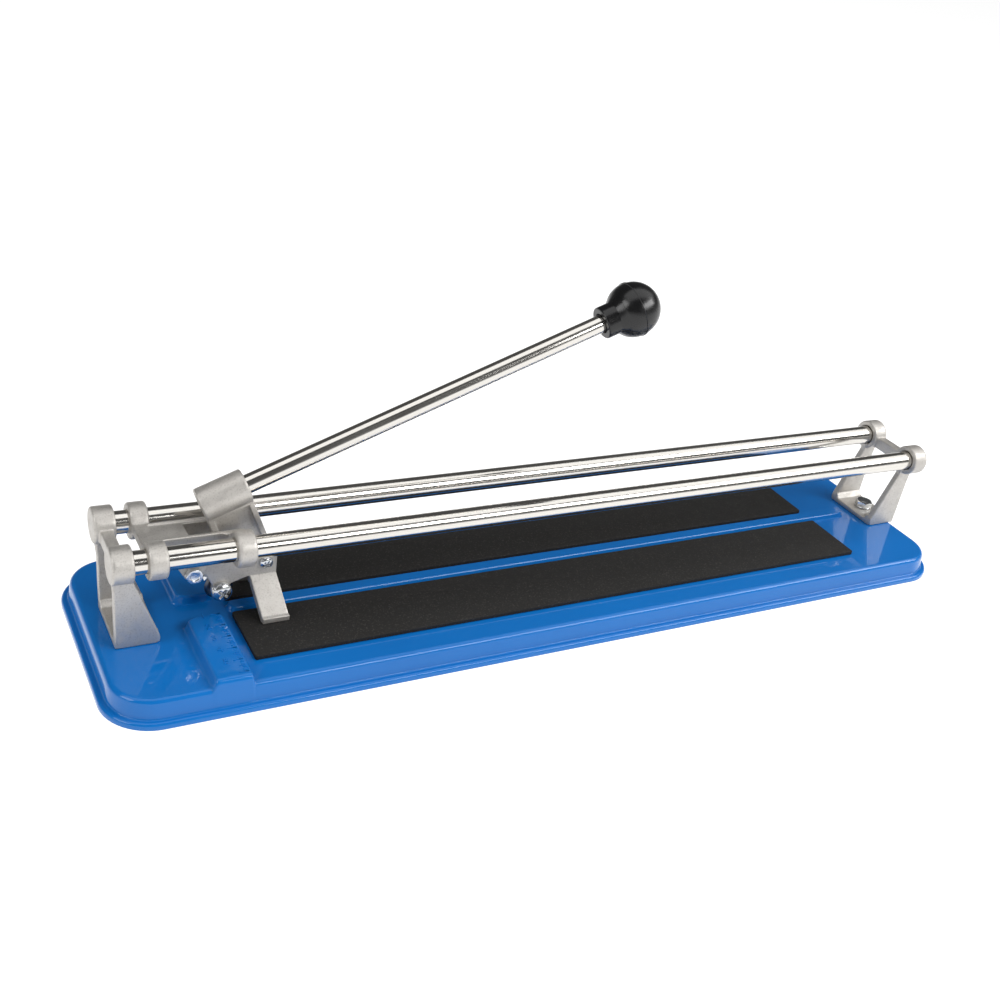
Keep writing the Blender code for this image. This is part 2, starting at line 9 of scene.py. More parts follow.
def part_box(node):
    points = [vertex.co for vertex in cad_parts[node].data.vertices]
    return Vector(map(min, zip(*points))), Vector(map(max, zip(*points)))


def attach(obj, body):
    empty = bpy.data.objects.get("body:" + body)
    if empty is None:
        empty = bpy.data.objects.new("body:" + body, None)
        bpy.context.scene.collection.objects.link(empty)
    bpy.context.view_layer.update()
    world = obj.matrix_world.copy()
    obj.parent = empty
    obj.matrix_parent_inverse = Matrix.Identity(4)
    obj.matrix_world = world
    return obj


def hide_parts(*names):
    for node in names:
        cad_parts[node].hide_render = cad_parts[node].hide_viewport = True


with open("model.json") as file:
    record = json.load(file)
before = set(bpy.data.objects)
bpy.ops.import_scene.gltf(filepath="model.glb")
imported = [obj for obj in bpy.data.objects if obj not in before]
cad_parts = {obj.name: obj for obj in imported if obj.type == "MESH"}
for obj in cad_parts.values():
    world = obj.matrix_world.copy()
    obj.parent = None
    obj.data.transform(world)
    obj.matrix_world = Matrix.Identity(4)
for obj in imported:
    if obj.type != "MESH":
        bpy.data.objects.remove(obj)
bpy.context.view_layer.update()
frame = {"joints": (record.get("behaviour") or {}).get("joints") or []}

# The manual tile cutter: enamelled pan on a bench, plated rails between cast brackets, and a cast
# carriage that carries the lever with its scoring wheel and wings.

MM = 0.001
UP = Vector((0, 0, 1))
ROUND = 96                        # sides of a turned piece

# ---------------------------------------------------------------- sizes read from the frame


def corners(node):
    low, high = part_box(node)
    return Vector(low), Vector(high)


def middle(node):
    low, high = corners(node)
    return (low + high) / 2


PAN_LOW, PAN_HIGH = corners("base_pan")
RAIL = middle("rail_far")
RAIL_RADIUS = (corners("rail_far")[1] - corners("rail_far")[0]).z / 2
WHEEL = middle("scoring_wheel")
HINGES = {joint["name"]: joint for joint in frame["joints"]}
PIVOT = Vector(HINGES["lever_tilt"]["pos_m"])
CLAMP = middle("clamp_screw")
KNOB_RADIUS = 15.3 * MM

# pressed pan
SHEET = 1.5 * MM
RIM_CORNER = 26 * MM
RIM_TOP = 3.5 * MM
RIM_ROUND = 1.8 * MM
WALL_FOOT = 3.5 * MM              # inset of the wall's foot from the rim's outer edge
WALL_DRAFT = 0.9 * MM
DECK_TOP = 14 * MM
DECK_ROUND = 2.8 * MM
FENCE_X = (-222 * MM, -199.5 * MM)
FENCE_SLOPE = (4.4 * MM, 1.9 * MM)
FENCE_INNER = 8.4 * MM
FENCE_RISE = PAN_HIGH.z - DECK_TOP
RIDGE_X = (-196 * MM, 237 * MM)
RIDGE_HALF = 5.2 * MM
RIDGE_RISE = 2.8 * MM
RIDGE_SLOPE = 2.2 * MM

# castings
BOSS_RADIUS = 9.5 * MM
BOSS_DEPTH = 10.7 * MM
BOSS_PROUD = 2.2 * MM
FOOT_LENGTH = 23 * MM
FOOT_HALF = 19.7 * MM
FOOT_THICK = 3 * MM
LEG_THICK = 4 * MM
LEG_TOP = 9.5 * MM
BRIDGE_LOW, BRIDGE_HIGH = 57.5 * MM, 65 * MM
BRIDGE_THICK = 6.5 * MM
RING_BORE = 7.75 * MM
PLATE_TOP = 66.2 * MM
PLATE_THICK = 4.5 * MM
PLATE_HALF = 8.6 * MM
SLOT_START = -218 * MM
SLOT_HALF = 5.4 * MM
EAR_Y = (5.4 * MM, 8.4 * MM)
EAR_RADIUS = 4.8 * MM
EAR_X = (-232 * MM, -197 * MM)

# lever
LEVER_ANGLE = radians(21.5)
SOCKET = Vector((-199.6 * MM, 0, 83.5 * MM))
SOCKET_RADIUS = 8.75 * MM
SOCKET_HALF = 12.5 * MM
KNOB_DISTANCE = 242.4 * MM
TUBE_RADIUS = 5 * MM
TUBE_WALL = 1.2 * MM
APRON_HALF = 4.8 * MM
APRON_LOW = (-30 * MM, -39 * MM)
WEB_HALF = 1.7 * MM
WING_Y = (2 * MM, 5 * MM)
WING_FOOT_X = (-185.3 * MM, -171 * MM)
WING_TIP = 22.3 * MM
WING_SHEAR = 0.15
WEB_NECK = 50.5 * MM              # height of the web where it leaves the pivot
WEB_EYE = 5.5 * MM
WEB_OVER_WHEEL = 9 * MM
WEB_TAIL_X = (-184 * MM, -172.5 * MM)
WEB_TAIL_Z = (37.5 * MM, 48 * MM)
WING_THROAT = ((-208.5 * MM, 40.5 * MM), (-204.9 * MM, 33.5 * MM))
WING_EYE = 4.6 * MM
WING_BACK = ((-195.3 * MM, 33.1 * MM), (-185.7 * MM, 36.2 * MM), (-184 * MM, 33.1 * MM),
             (-171 * MM, 33.1 * MM), (-171 * MM, 48 * MM), (-206 * MM, 50.4 * MM))
PIVOT_HOLE = 2.65 * MM
WHEEL_HOLE = 3.35 * MM
CLAMP_HOLE = 2.35 * MM

# fasteners
M6_HEX = 5.77 * MM                # across the corners, halved
THREAD_DEPTH = 0.28 * MM
# (height over the seat, radius) of a screw head of radius 5
SCREW_DOME = ((0, 0), (0, 4.7), (0.25, 5.0), (1.1, 5.0), (2.0, 4.65), (2.7, 3.9), (3.2, 2.8), (3.4, 1.4),
              (3.45, 0))

# ---------------------------------------------------------------- node groups and finishes


def make_group(name, inputs, outputs):
    """An empty shader group with named number inputs and outputs."""
    group = bpy.data.node_groups.new(name, "ShaderNodeTree")
    for label, value in inputs.items():
        socket = group.interface.new_socket(label, in_out="INPUT", socket_type="NodeSocketFloat")
        socket.default_value = value
    for label in outputs:
        group.interface.new_socket(label, in_out="OUTPUT", socket_type="NodeSocketFloat")
    return group, group.nodes.new("NodeGroupInput"), group.nodes.new("NodeGroupOutput")


def feed(tree, source, socket):
    """Link an output to a socket, or set the socket to a plain value."""
    if isinstance(source, bpy.types.NodeSocket):
        tree.links.new(source, socket)
    else:
        socket.default_value = source


def maths(tree, operation, first, second):
    node = tree.nodes.new("ShaderNodeMath")
    node.operation = operation
    feed(tree, first, node.inputs[0])
    feed(tree, second, node.inputs[1])
    return node.outputs[0]


def noise(tree, place, scale, detail):
    """Noise from 0 to 1 over a place."""
    node = tree.nodes.new("ShaderNodeTexNoise")
    for label, source in (("Vector", place), ("Scale", scale), ("Detail", detail)):
        feed(tree, source, node.inputs[label])
    return node.outputs["Fac"]


def map_range(tree, source, start, end, low, high):
    """Map start..end onto low..high."""
    node = tree.nodes.new("ShaderNodeMapRange")
    values = {"Value": source, "From Min": start, "From Max": end, "To Min": low, "To Max": high}
    for label, value in values.items():
        feed(tree, value, node.inputs[label])
    return node.outputs[0]


def make_grain_group():
    """Fine grain over a broad mottle, both from 0 to 1, on the piece's own coordinates."""
    sizes = {"Grain size": 0.0006, "Mottle size": 0.008, "Detail": 3}
    group, given, result = make_group("grain", sizes, ("Grain", "Mottle"))
    place = group.nodes.new("ShaderNodeTexCoord").outputs["Object"]
    for size, output in (("Grain size", "Grain"), ("Mottle size", "Mottle")):
        scale = maths(group, "DIVIDE", 1, given.outputs[size])
        group.links.new(noise(group, place, scale, given.outputs["Detail"]), result.inputs[output])
    return group


def make_scuff_group():
    """Sparse hairline scuffs as a mask from 0 to 1."""
    sizes = {"Length": 0.02, "Fineness": 0.0005, "Amount": 0.4}
    group, given, result = make_group("scuffs", sizes, ("Mask",))
    place = group.nodes.new("ShaderNodeTexCoord")
    turn = group.nodes.new("ShaderNodeMapping")
    turn.inputs["Rotation"].default_value = (0.3, 0.2, 0.5)
    stretch = group.nodes.new("ShaderNodeCombineXYZ")
    for axis, size in enumerate(("Length", "Fineness", "Length")):
        group.links.new(maths(group, "DIVIDE", 1, given.outputs[size]), stretch.inputs[axis])
    group.links.new(stretch.outputs[0], turn.inputs["Scale"])
    group.links.new(place.outputs["Object"], turn.inputs["Vector"])
    streaks = noise(group, turn.outputs[0], 1, 4)
    mask = map_range(group, streaks, 0.62, 0.75, 0, given.outputs["Amount"])
    group.links.new(mask, result.inputs["Mask"])
    return group


def make_drawn_group():
    """Fine lines along a drawn bar; Tilt turns them from +X towards +Z."""
    sizes = {"Tilt": 0, "Length": 0.3, "Fineness": 0.0006}
    group, given, result = make_group("drawn_lines", sizes, ("Lines",))
    place = group.nodes.new("ShaderNodeTexCoord")
    level = group.nodes.new("ShaderNodeVectorRotate")
    level.rotation_type = "Y_AXIS"
    group.links.new(place.outputs["Object"], level.inputs["Vector"])
    group.links.new(given.outputs["Tilt"], level.inputs["Angle"])
    size = group.nodes.new("ShaderNodeCombineXYZ")
    for axis, label in enumerate(("Length", "Fineness", "Fineness")):
        group.links.new(given.outputs[label], size.inputs[axis])
    squeeze = group.nodes.new("ShaderNodeVectorMath")
    squeeze.operation = "DIVIDE"
    group.links.new(level.outputs[0], squeeze.inputs[0])
    group.links.new(size.outputs[0], squeeze.inputs[1])
    group.links.new(noise(group, squeeze.outputs[0], 1, 3), result.inputs["Lines"])
    return group


GRAIN = make_grain_group()
SCUFFS = make_scuff_group()
DRAWN = make_drawn_group()


class Finish:
    """A node material with one Principled shader, wired step by step."""

    def __init__(self, name, **sockets):
        self.material = bpy.data.materials.new(name)
        self.material.use_nodes = True
        self.tree = self.material.node_tree
        self.shader = self.tree.nodes["Principled BSDF"]
        for label, value in sockets.items():
            self.shader.inputs[label.replace("_", " ")].default_value = value

    def group(self, group, **values):
        node = self.tree.nodes.new("ShaderNodeGroup")
        node.node_tree = group
        for label, value in values.items():
            node.inputs[label.replace("_", " ")].default_value = value
        return node

    def spread(self, source, low, high, start=0.35, end=0.65):
        """Map a mask onto a range of numbers."""
        return map_range(self.tree, source, start, end, low, high)

    def blend(self, mask, first, second):
        """Mix two colours, or a colour and a node's colour output, by a mask."""
        node = self.tree.nodes.new("ShaderNodeMix")
        node.data_type = "RGBA"
        self.tree.links.new(mask, node.inputs[0])
        for socket, colour in ((node.inputs[6], first), (node.inputs[7], second)):
            feed(self.tree, (*colour, 1) if isinstance(colour, tuple) else colour, socket)
        return node.outputs[2]

    def total(self, first, second):
        return maths(self.tree, "ADD", first, second)

    def set(self, **sources):
        for label, source in sources.items():
            self.tree.links.new(source, self.shader.inputs[label.replace("_", " ")])

    def bump(self, height, depth, strength=1.0):
        """Relief of the given depth in metres, on top of what is there."""
        node = self.tree.nodes.new("ShaderNodeBump")
        node.inputs["Distance"].default_value = depth
        node.inputs["Strength"].default_value = strength
        self.tree.links.new(height, node.inputs["Height"])
        if self.shader.inputs["Normal"].is_linked:
            self.tree.links.new(self.shader.inputs["Normal"].links[0].from_socket, node.inputs["Normal"])
        self.tree.links.new(node.outputs[0], self.shader.inputs["Normal"])


def enamel():
    """Baked blue enamel: deep gloss, slight orange peel, faint handling marks."""
    paint = Finish("blue_enamel", Coat_Weight=1.0, Coat_Roughness=0.03, Coat_IOR=1.4, Specular_IOR_Level=0.05)
    peel = paint.group(GRAIN, Grain_size=0.0035, Mottle_size=0.09, Detail=2)
    marks = paint.group(SCUFFS, Length=0.05, Fineness=0.0012, Amount=0.10)
    deep, bright = (0.003, 0.136, 0.46), (0.004, 0.170, 0.55)
    paint.set(Base_Color=paint.blend(peel.outputs["Mottle"], deep, bright),
              Roughness=paint.total(paint.spread(peel.outputs["Mottle"], 0.28, 0.38), marks.outputs["Mask"]))
    paint.bump(peel.outputs["Grain"], 0.012 * MM, 0.3)
    return paint.material


def foam_rubber():
    """Matt black sheet rubber with open pores and paler specks."""
    rubber = Finish("speckled_rubber", Specular_IOR_Level=0.35)
    skin = rubber.group(GRAIN, Grain_size=0.0009, Mottle_size=0.03, Detail=4)
    specks = rubber.spread(skin.outputs["Grain"], 0, 1, 0.56, 0.72)
    black, worn, speck = (0.0105, 0.0100, 0.0095), (0.0175, 0.0165, 0.0155), (0.045, 0.042, 0.038)
    dark = rubber.blend(skin.outputs["Mottle"], black, worn)
    rubber.set(Base_Color=rubber.blend(specks, dark, speck),
               Roughness=rubber.spread(skin.outputs["Mottle"], 0.72, 0.9))
    rubber.bump(skin.outputs["Grain"], 0.12 * MM, 0.7)
    return rubber.material


def plating(name, colour, roughness):
    """Bright plate over drawn steel: hairlines, slight haze."""
    plate = Finish(name, Base_Color=(*colour, 1), Metallic=1.0)
    haze = plate.group(GRAIN, Grain_size=0.0008, Mottle_size=0.02, Detail=2)
    marks = plate.group(SCUFFS, Length=0.03, Fineness=0.0004, Amount=0.10)
    dull = tuple(value * 0.86 for value in colour)
    sheen = plate.spread(haze.outputs["Mottle"], roughness * 0.7, roughness * 1.5)
    plate.set(Base_Color=plate.blend(haze.outputs["Mottle"], dull, colour),
              Roughness=plate.total(sheen, marks.outputs["Mask"]))
    plate.bump(haze.outputs["Grain"], 0.004 * MM, 0.25)
    return plate.material


def drawn_bar(name, tilt):
    """Nickel-chrome plate over a drawn bar, with its fine lines running along it."""
    bar = Finish(name, Metallic=1.0)
    haze = bar.group(GRAIN, Grain_size=0.003, Mottle_size=0.03, Detail=2)
    lines = bar.group(DRAWN, Tilt=tilt)
    dull, bright = (0.58, 0.555, 0.515), (0.82, 0.80, 0.76)
    bar.set(Base_Color=bar.blend(lines.outputs["Lines"], dull, bright),
            Roughness=bar.total(bar.spread(haze.outputs["Mottle"], 0.05, 0.09),
                                bar.spread(lines.outputs["Lines"], 0.03, 0.13)))
    bar.bump(lines.outputs["Lines"], 0.001 * MM, 0.4)
    return bar.material


def cast_alloy():
    """Tumbled zinc alloy casting: satin, speckled, finely pitted."""
    alloy = Finish("cast_alloy", Metallic=0.72)
    skin = alloy.group(GRAIN, Grain_size=0.0008, Mottle_size=0.004, Detail=5)
    broad = alloy.group(GRAIN, Grain_size=0.0026, Mottle_size=0.02, Detail=3)
    dull, bright, pit = (0.50, 0.475, 0.445), (0.62, 0.60, 0.565), (0.33, 0.31, 0.285)
    grey = alloy.blend(broad.outputs["Mottle"], dull, bright)
    pits = alloy.spread(skin.outputs["Grain"], 0, 0.6, 0.52, 0.74)
    alloy.set(Base_Color=alloy.blend(pits, grey, pit),
              Roughness=alloy.spread(skin.outputs["Mottle"], 0.42, 0.6))
    alloy.bump(broad.outputs["Grain"], 0.09 * MM, 0.6)
    alloy.bump(skin.outputs["Grain"], 0.10 * MM, 0.7)
    return alloy.material


def moulded_plastic(name, colour, roughness):
    """Moulded plastic with scuffs from handling."""
    plastic = Finish(name, Base_Color=(*colour, 1), IOR=1.5)
    skin = plastic.group(GRAIN, Grain_size=0.0007, Mottle_size=0.006, Detail=3)
    marks = plastic.group(SCUFFS, Length=0.006, Fineness=0.0006, Amount=0.12)
    worn = tuple(value * 2.0 for value in colour)
    sheen = plastic.spread(skin.outputs["Mottle"], roughness * 0.85, roughness * 1.15)
    plastic.set(Base_Color=plastic.blend(marks.outputs["Mask"], colour, worn),
                Roughness=plastic.total(sheen, marks.outputs["Mask"]))
    plastic.bump(skin.outputs["Grain"], 0.01 * MM, 0.3)
    return plastic.material


FINISHES = {
    "blue_paint": enamel(),
    "black_rubber": foam_rubber(),
    "chrome": drawn_bar("plated_rail", 0),
    "lever_chrome": drawn_bar("plated_lever", LEVER_ANGLE),
    "cast_metal": cast_alloy(),
    "zinc_plate": plating("bright_zinc", (0.70, 0.72, 0.74), 0.17),
    "wheel_steel": plating("ground_carbide", (0.20, 0.20, 0.205), 0.34),
    "black_plastic": moulded_plastic("phenolic", (0.006, 0.006, 0.0065), 0.24),
}

# ---------------------------------------------------------------- modelling helpers


def put(name, data):
    """A new object in the scene."""
    made = bpy.data.objects.new(name, data)
    bpy.context.scene.collection.objects.link(made)
    return made


def add(name, bm, recalculate=True):
    """Turn a bmesh into an object, faces pointing outwards."""
    if recalculate:
        bmesh.ops.recalc_face_normals(bm, faces=bm.faces)
    mesh = bpy.data.meshes.new(name)
    bm.to_mesh(mesh)
    bm.free()
    return put(name, mesh)


def evaluated_mesh(made):
    """A plain mesh of the object as it is shown, in the scene's coordinates."""
    bpy.context.view_layer.update()
    shown = made.evaluated_get(bpy.context.evaluated_depsgraph_get())
    mesh = bpy.data.meshes.new_from_object(shown)
    mesh.transform(made.matrix_world)
    return mesh


def settle(made, sharp=30):
    """Apply modifiers and place, so that the object is a plain mesh at the origin."""
    mesh = evaluated_mesh(made)
    made.modifiers.clear()
    made.data = mesh
    made.matrix_world = Matrix.Identity(4)
    mesh.name = made.name
    mesh.shade_smooth()
    if sharp:
        mesh.set_sharp_from_angle(angle=radians(sharp))
    return made


def finished(made, body, slot, *nodes, finish=None):
    """Give a piece its finish, its body and the CAD nodes that it stands for."""
    made.data.materials.clear()
    made.data.materials.append(FINISHES[finish or slot])
    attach(made, body)
    if nodes:
        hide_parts(*nodes)
    return made


def bend(centre, radius, start, end, steps=6):
    """Points on an arc, angles in degrees."""
    angles = [radians(start + (end - start) * i / steps) for i in range(steps + 1)]
    return [(centre[0] + radius * cos(a), centre[1] + radius * sin(a)) for a in angles]


def aim(made, start, toward):
    """Turn an object's Z axis towards a direction and put its origin at the start."""
    made.rotation_mode = "QUATERNION"
    made.rotation_quaternion = UP.rotation_difference(Vector(toward))
    made.location = start
    return made


def lathe(name, profile, start, toward, closed=False, sides=ROUND):
    """Spin (distance along, radius) points about the line from start; closed leaves a bore."""
    bm = bmesh.new()
    rings = []
    for along, radius in profile:
        turn = [2 * pi * i / sides for i in range(sides)] if radius > 0 else [0]
        rings.append([bm.verts.new((radius * cos(a), radius * sin(a), along)) for a in turn])
    pairs = list(zip(rings, rings[1:])) + ([(rings[-1], rings[0])] if closed else [])
    for low, high in pairs:
        for i in range(sides):
            j = i + 1
            loop = [low[i % len(low)], low[j % len(low)], high[j % len(high)], high[i % len(high)]]
            bm.faces.new(list(dict.fromkeys(loop)))
    for ring in (rings[0], rings[-1]):
        if len(ring) > 1 and not closed:
            bm.faces.new(ring)
    return aim(add(name, bm), start, toward)


def rod(name, start, end, radius, sides=ROUND):
    start, end = Vector(start), Vector(end)
    return lathe(name, [(0, radius), ((end - start).length, radius)], start, end - start, sides=sides)


def slab(name, low, high):
    bm = bmesh.new()
    bmesh.ops.create_cube(bm, size=1)
    low, high = Vector(low), Vector(high)
    for vert in bm.verts:
        vert.co = Vector(high[k] if vert.co[k] > 0 else low[k] for k in range(3))
    return add(name, bm)


PLANES = {"XZ": lambda u, v, depth: (u, depth, v), "YZ": lambda u, v, depth: (depth, u, v),
          "XY": lambda u, v, depth: (u, v, depth)}


def prism(name, points, plane, span):
    """An outline in a plane, thickened over span on the third axis."""
    bm = bmesh.new()
    ends = [[bm.verts.new(PLANES[plane](u, v, depth)) for u, v in points] for depth in span]
    for ring in ends:
        bm.faces.new(ring)
    for i in range(len(points)):
        j = (i + 1) % len(points)
        bm.faces.new((ends[0][i], ends[0][j], ends[1][j], ends[1][i]))
    return add(name, bm)


def round_outline(low, high, radius, steps=6):
    """A rectangle with round corners, as points."""
    (x0, y0), (x1, y1) = low, high
    points = bend((x0 + radius, y0 + radius), radius, 180, 270, steps)
    points += bend((x1 - radius, y0 + radius), radius, 270, 360, steps)
    points += bend((x1 - radius, y1 - radius), radius, 0, 90, steps)
    return points + bend((x0 + radius, y1 - radius), radius, 90, 180, steps)


def fuse(body, solids=(), cuts=(), keeps=(), sharp=30):
    """Join solids onto a body, take the cuts out of it, and keep only what lies in the keeps."""
    for operation, tools in (("UNION", solids), ("DIFFERENCE", cuts), ("INTERSECT", keeps)):
        for tool in tools:
            step = body.modifiers.new(tool.name, "BOOLEAN")
            step.operation = operation
            step.object = tool
            step.solver = "EXACT"
    settle(body, sharp)
    for tool in (*solids, *cuts, *keeps):
        bpy.data.objects.remove(tool)
    return body


def cross_holes(name, reach, *holes):
    """Rods across the cutter for (centre, radius) holes."""
    across = Vector((0, reach, 0))
    rods = []
    for centre, radius in holes:
        at = Vector((centre.x, 0, centre.z))
        rods.append(rod(name, at - across, at + across, radius, 48))
    return rods


def cast_skin(made, pitch, passes):
    """Soften every edge and corner the way a sand-blasted casting has them."""
    skin = made.modifiers.new("skin", "REMESH")
    skin.mode = "VOXEL"
    skin.voxel_size = pitch
    skin.use_smooth_shade = True
    tumble = made.modifiers.new("tumble", "SMOOTH")
    tumble.factor = 0.5
    tumble.iterations = passes
    return settle(made, sharp=None)


def soft_edges(made, width, segments=2, angle=30):
    edges = made.modifiers.new("edges", "BEVEL")
    edges.width = width
    edges.segments = segments
    edges.limit_method = "ANGLE"
    edges.angle_limit = radians(angle)
    return settle(made)


# ---------------------------------------------------------------- pressed pan


def steps_between(stops):
    """Lines from stop to stop; each stop gives a place and the spacing that follows it."""
    lines = []
    for (start, pitch), (end, _) in zip(stops, stops[1:]):
        count = max(1, round((end - start) / pitch))
        lines += [start + (end - start) * i / count for i in range(count)]
    return lines + [stops[-1][0]]


def ease(value):
    """0 below 0, 1 above 1, smooth between."""
    value = min(max(value, 0), 1)
    return value * value * value * (value * (6 * value - 15) + 10)


def fence_height(x, y):
    """Height of the pressed fence blocks, round at their inner corners."""
    across = min((x - FENCE_X[0]) / FENCE_SLOPE[0], (FENCE_X[1] - x) / FENCE_SLOPE[1])
    along = (abs(y) - FENCE_INNER) / FENCE_SLOPE[1]
    corner = 2.2                  # in slopes
    return FENCE_RISE * ease(corner - hypot(max(corner - across, 0), max(corner - along, 0)))


def ridge_height(x, y):
    past = max(RIDGE_X[0] + RIDGE_HALF - x, x - RIDGE_X[1] + RIDGE_HALF, 0)
    return RIDGE_RISE * ease((RIDGE_HALF - hypot(past, y)) / RIDGE_SLOPE)


def pan_profile():
    """(inset from the rim's edge, height) from the bench, over the rim and up the wall to the deck."""
    wall_low = (WALL_FOOT, RIM_TOP + 1 * MM)
    wall_high = (WALL_FOOT + WALL_DRAFT, DECK_TOP - DECK_ROUND)
    points = [(0, 0), (0, (RIM_TOP - RIM_ROUND) / 2)]
    points += bend((RIM_ROUND, RIM_TOP - RIM_ROUND), RIM_ROUND, 180, 90, 8)
    points += bend((WALL_FOOT - 1 * MM, wall_low[1]), 1 * MM, 270, 355, 6)
    points += [tuple(a + (b - a) * i / 4 for a, b in zip(wall_low, wall_high)) for i in range(1, 4)]
    points += bend((wall_high[0] + DECK_ROUND, wall_high[1]), DECK_ROUND, 175, 90, 10)
    deck_start = wall_high[0] + DECK_ROUND
    spacing = steps_between([(deck_start, 1.2 * MM), (deck_start + 6 * MM, 2.8 * MM), (RIM_CORNER, 1)])
    return points + [(inset, DECK_TOP) for inset in spacing[1:-1]]


def make_pan():
    half = (PAN_HIGH - PAN_LOW) / 2
    core = (half.x - RIM_CORNER, half.y - RIM_CORNER)
    fine = 0.35 * MM
    x_lines = steps_between([
        (-core[0], 3 * MM), (FENCE_X[0] - 0.4 * MM, 0.45 * MM), (FENCE_X[0] + 9.8 * MM, 2 * MM),
        (FENCE_X[1] - 4.4 * MM, 0.3 * MM), (FENCE_X[1] + 0.3 * MM, 0.8 * MM), (RIDGE_X[0] - 0.3 * MM, fine),
        (RIDGE_X[0] + 6 * MM, 5 * MM), (RIDGE_X[1] - 6 * MM, fine), (RIDGE_X[1] + 0.3 * MM, 2 * MM),
        (core[0], 1)])
    far_side = steps_between([
        (0, 1.4 * MM), (RIDGE_HALF - 2.6 * MM, 0.3 * MM), (RIDGE_HALF + 0.2 * MM, 1.4 * MM),
        (FENCE_INNER - 0.3 * MM, fine), (FENCE_INNER + 4.6 * MM, 3 * MM), (core[1], 1)])
    y_lines = [-y for y in reversed(far_side[1:])] + far_side

    bm = bmesh.new()

    def surface(x, y, z=DECK_TOP):
        share = min(max((z - RIM_TOP) / (DECK_TOP - RIM_TOP), 0), 1)
        return bm.verts.new((x, y, z + share * (fence_height(x, y) + ridge_height(x, y))))

    grid = [[surface(x, y) for y in y_lines] for x in x_lines]
    last_x, last_y = len(x_lines) - 1, len(y_lines) - 1
    for i in range(last_x):
        for j in range(last_y):
            bm.faces.new((grid[i][j], grid[i + 1][j], grid[i + 1][j + 1], grid[i][j + 1]))

    fan = 14
    sides = (
        ([(i, 0) for i in range(last_x + 1)], -90), ([(last_x, j) for j in range(last_y + 1)], 0),
        ([(i, last_y) for i in range(last_x, -1, -1)], 90), ([(0, j) for j in range(last_y, -1, -1)], 180))
    stations = []
    for places, angle in sides:
        stations += [(place, radians(angle)) for place in places]
        stations += [(places[-1], radians(angle + 90 * k / fan)) for k in range(1, fan)]

    inner = [grid[i][j] for (i, j), _ in stations]
    for inset, height in reversed(pan_profile()):
        reach = RIM_CORNER - inset
        outer = [surface(x_lines[i] + reach * cos(a), y_lines[j] + reach * sin(a), height)
                 for (i, j), a in stations]
        for k in range(len(stations)):
            n = (k + 1) % len(stations)
            loop = [inner[k], outer[k], outer[n], inner[n]]
            bm.faces.new(list(dict.fromkeys(loop)))
        inner = outer

    pan = add("pressed_pan", bm, recalculate=False)
    sheet = pan.modifiers.new("sheet", "SOLIDIFY")
    sheet.thickness = SHEET
    sheet.offset = -1
    sheet.use_even_offset = True
    settle(pan)
    holes = []
    for side in ("left", "right"):
        place = middle(f"bracket_bolt_{side}")
        holes.append(rod(f"pan_hole_{side}", (place.x, 0, 5 * MM), (place.x, 0, 20 * MM), 3.3 * MM, 32))
    fuse(pan, cuts=holes)
    return finished(pan, "base", "blue_paint", "base_pan")


# ---------------------------------------------------------------- geometry nodes


def tree_with(name, inputs):
    """A geometry tree with a geometry output and named inputs."""
    tree = bpy.data.node_groups.new(name, "GeometryNodeTree")
    tree.interface.new_socket("Geometry", in_out="OUTPUT", socket_type="NodeSocketGeometry")
    for label, kind in inputs.items():
        tree.interface.new_socket(label, in_out="INPUT", socket_type=kind)
    return tree, tree.nodes.new("NodeGroupInput"), tree.nodes.new("NodeGroupOutput")


def finish_tree(tree, given, result, shape):
    """Realise the instances, set the material and hand the shape over."""
    real = tree.nodes.new("GeometryNodeRealizeInstances")
    paint = tree.nodes.new("GeometryNodeSetMaterial")
    tree.links.new(shape, real.inputs[0])
    tree.links.new(real.outputs[0], paint.inputs["Geometry"])
    tree.links.new(given.outputs["Material"], paint.inputs["Material"])
    tree.links.new(paint.outputs[0], result.inputs[0])
    return tree


def run_tree(name, tree, values):
    """Make an object from a geometry tree, with its inputs set by socket identifier."""
    made = put(name, bpy.data.meshes.new(name))
    grow = made.modifiers.new("grow", "NODES")
    grow.node_group = tree
    for item in tree.interface.items_tree:
        if item.in_out == "INPUT" and item.name in values:
            grow[item.identifier] = values[item.name]
    return made


def ticks_tree():
    """A row of raised bars along -Y."""
    tree, given, result = tree_with("scale_ticks", {
        "Count": "NodeSocketInt", "Spacing": "NodeSocketFloat", "Length": "NodeSocketFloat",
        "Width": "NodeSocketFloat", "Height": "NodeSocketFloat", "Material": "NodeSocketMaterial"})
    nodes, link = tree.nodes, tree.links.new
    step = nodes.new("ShaderNodeCombineXYZ")
    link(maths(tree, "MULTIPLY", given.outputs["Spacing"], -1), step.inputs["Y"])
    row = nodes.new("GeometryNodeMeshLine")
    link(given.outputs["Count"], row.inputs["Count"])
    link(step.outputs[0], row.inputs["Offset"])
    size = nodes.new("ShaderNodeCombineXYZ")
    for axis, label in (("X", "Length"), ("Y", "Width"), ("Z", "Height")):
        link(given.outputs[label], size.inputs[axis])
    bar = nodes.new("GeometryNodeMeshCube")
    link(size.outputs[0], bar.inputs["Size"])
    place = nodes.new("GeometryNodeInstanceOnPoints")
    link(row.outputs[0], place.inputs["Points"])
    link(bar.outputs["Mesh"], place.inputs["Instance"])
    return finish_tree(tree, given, result, place.outputs[0])


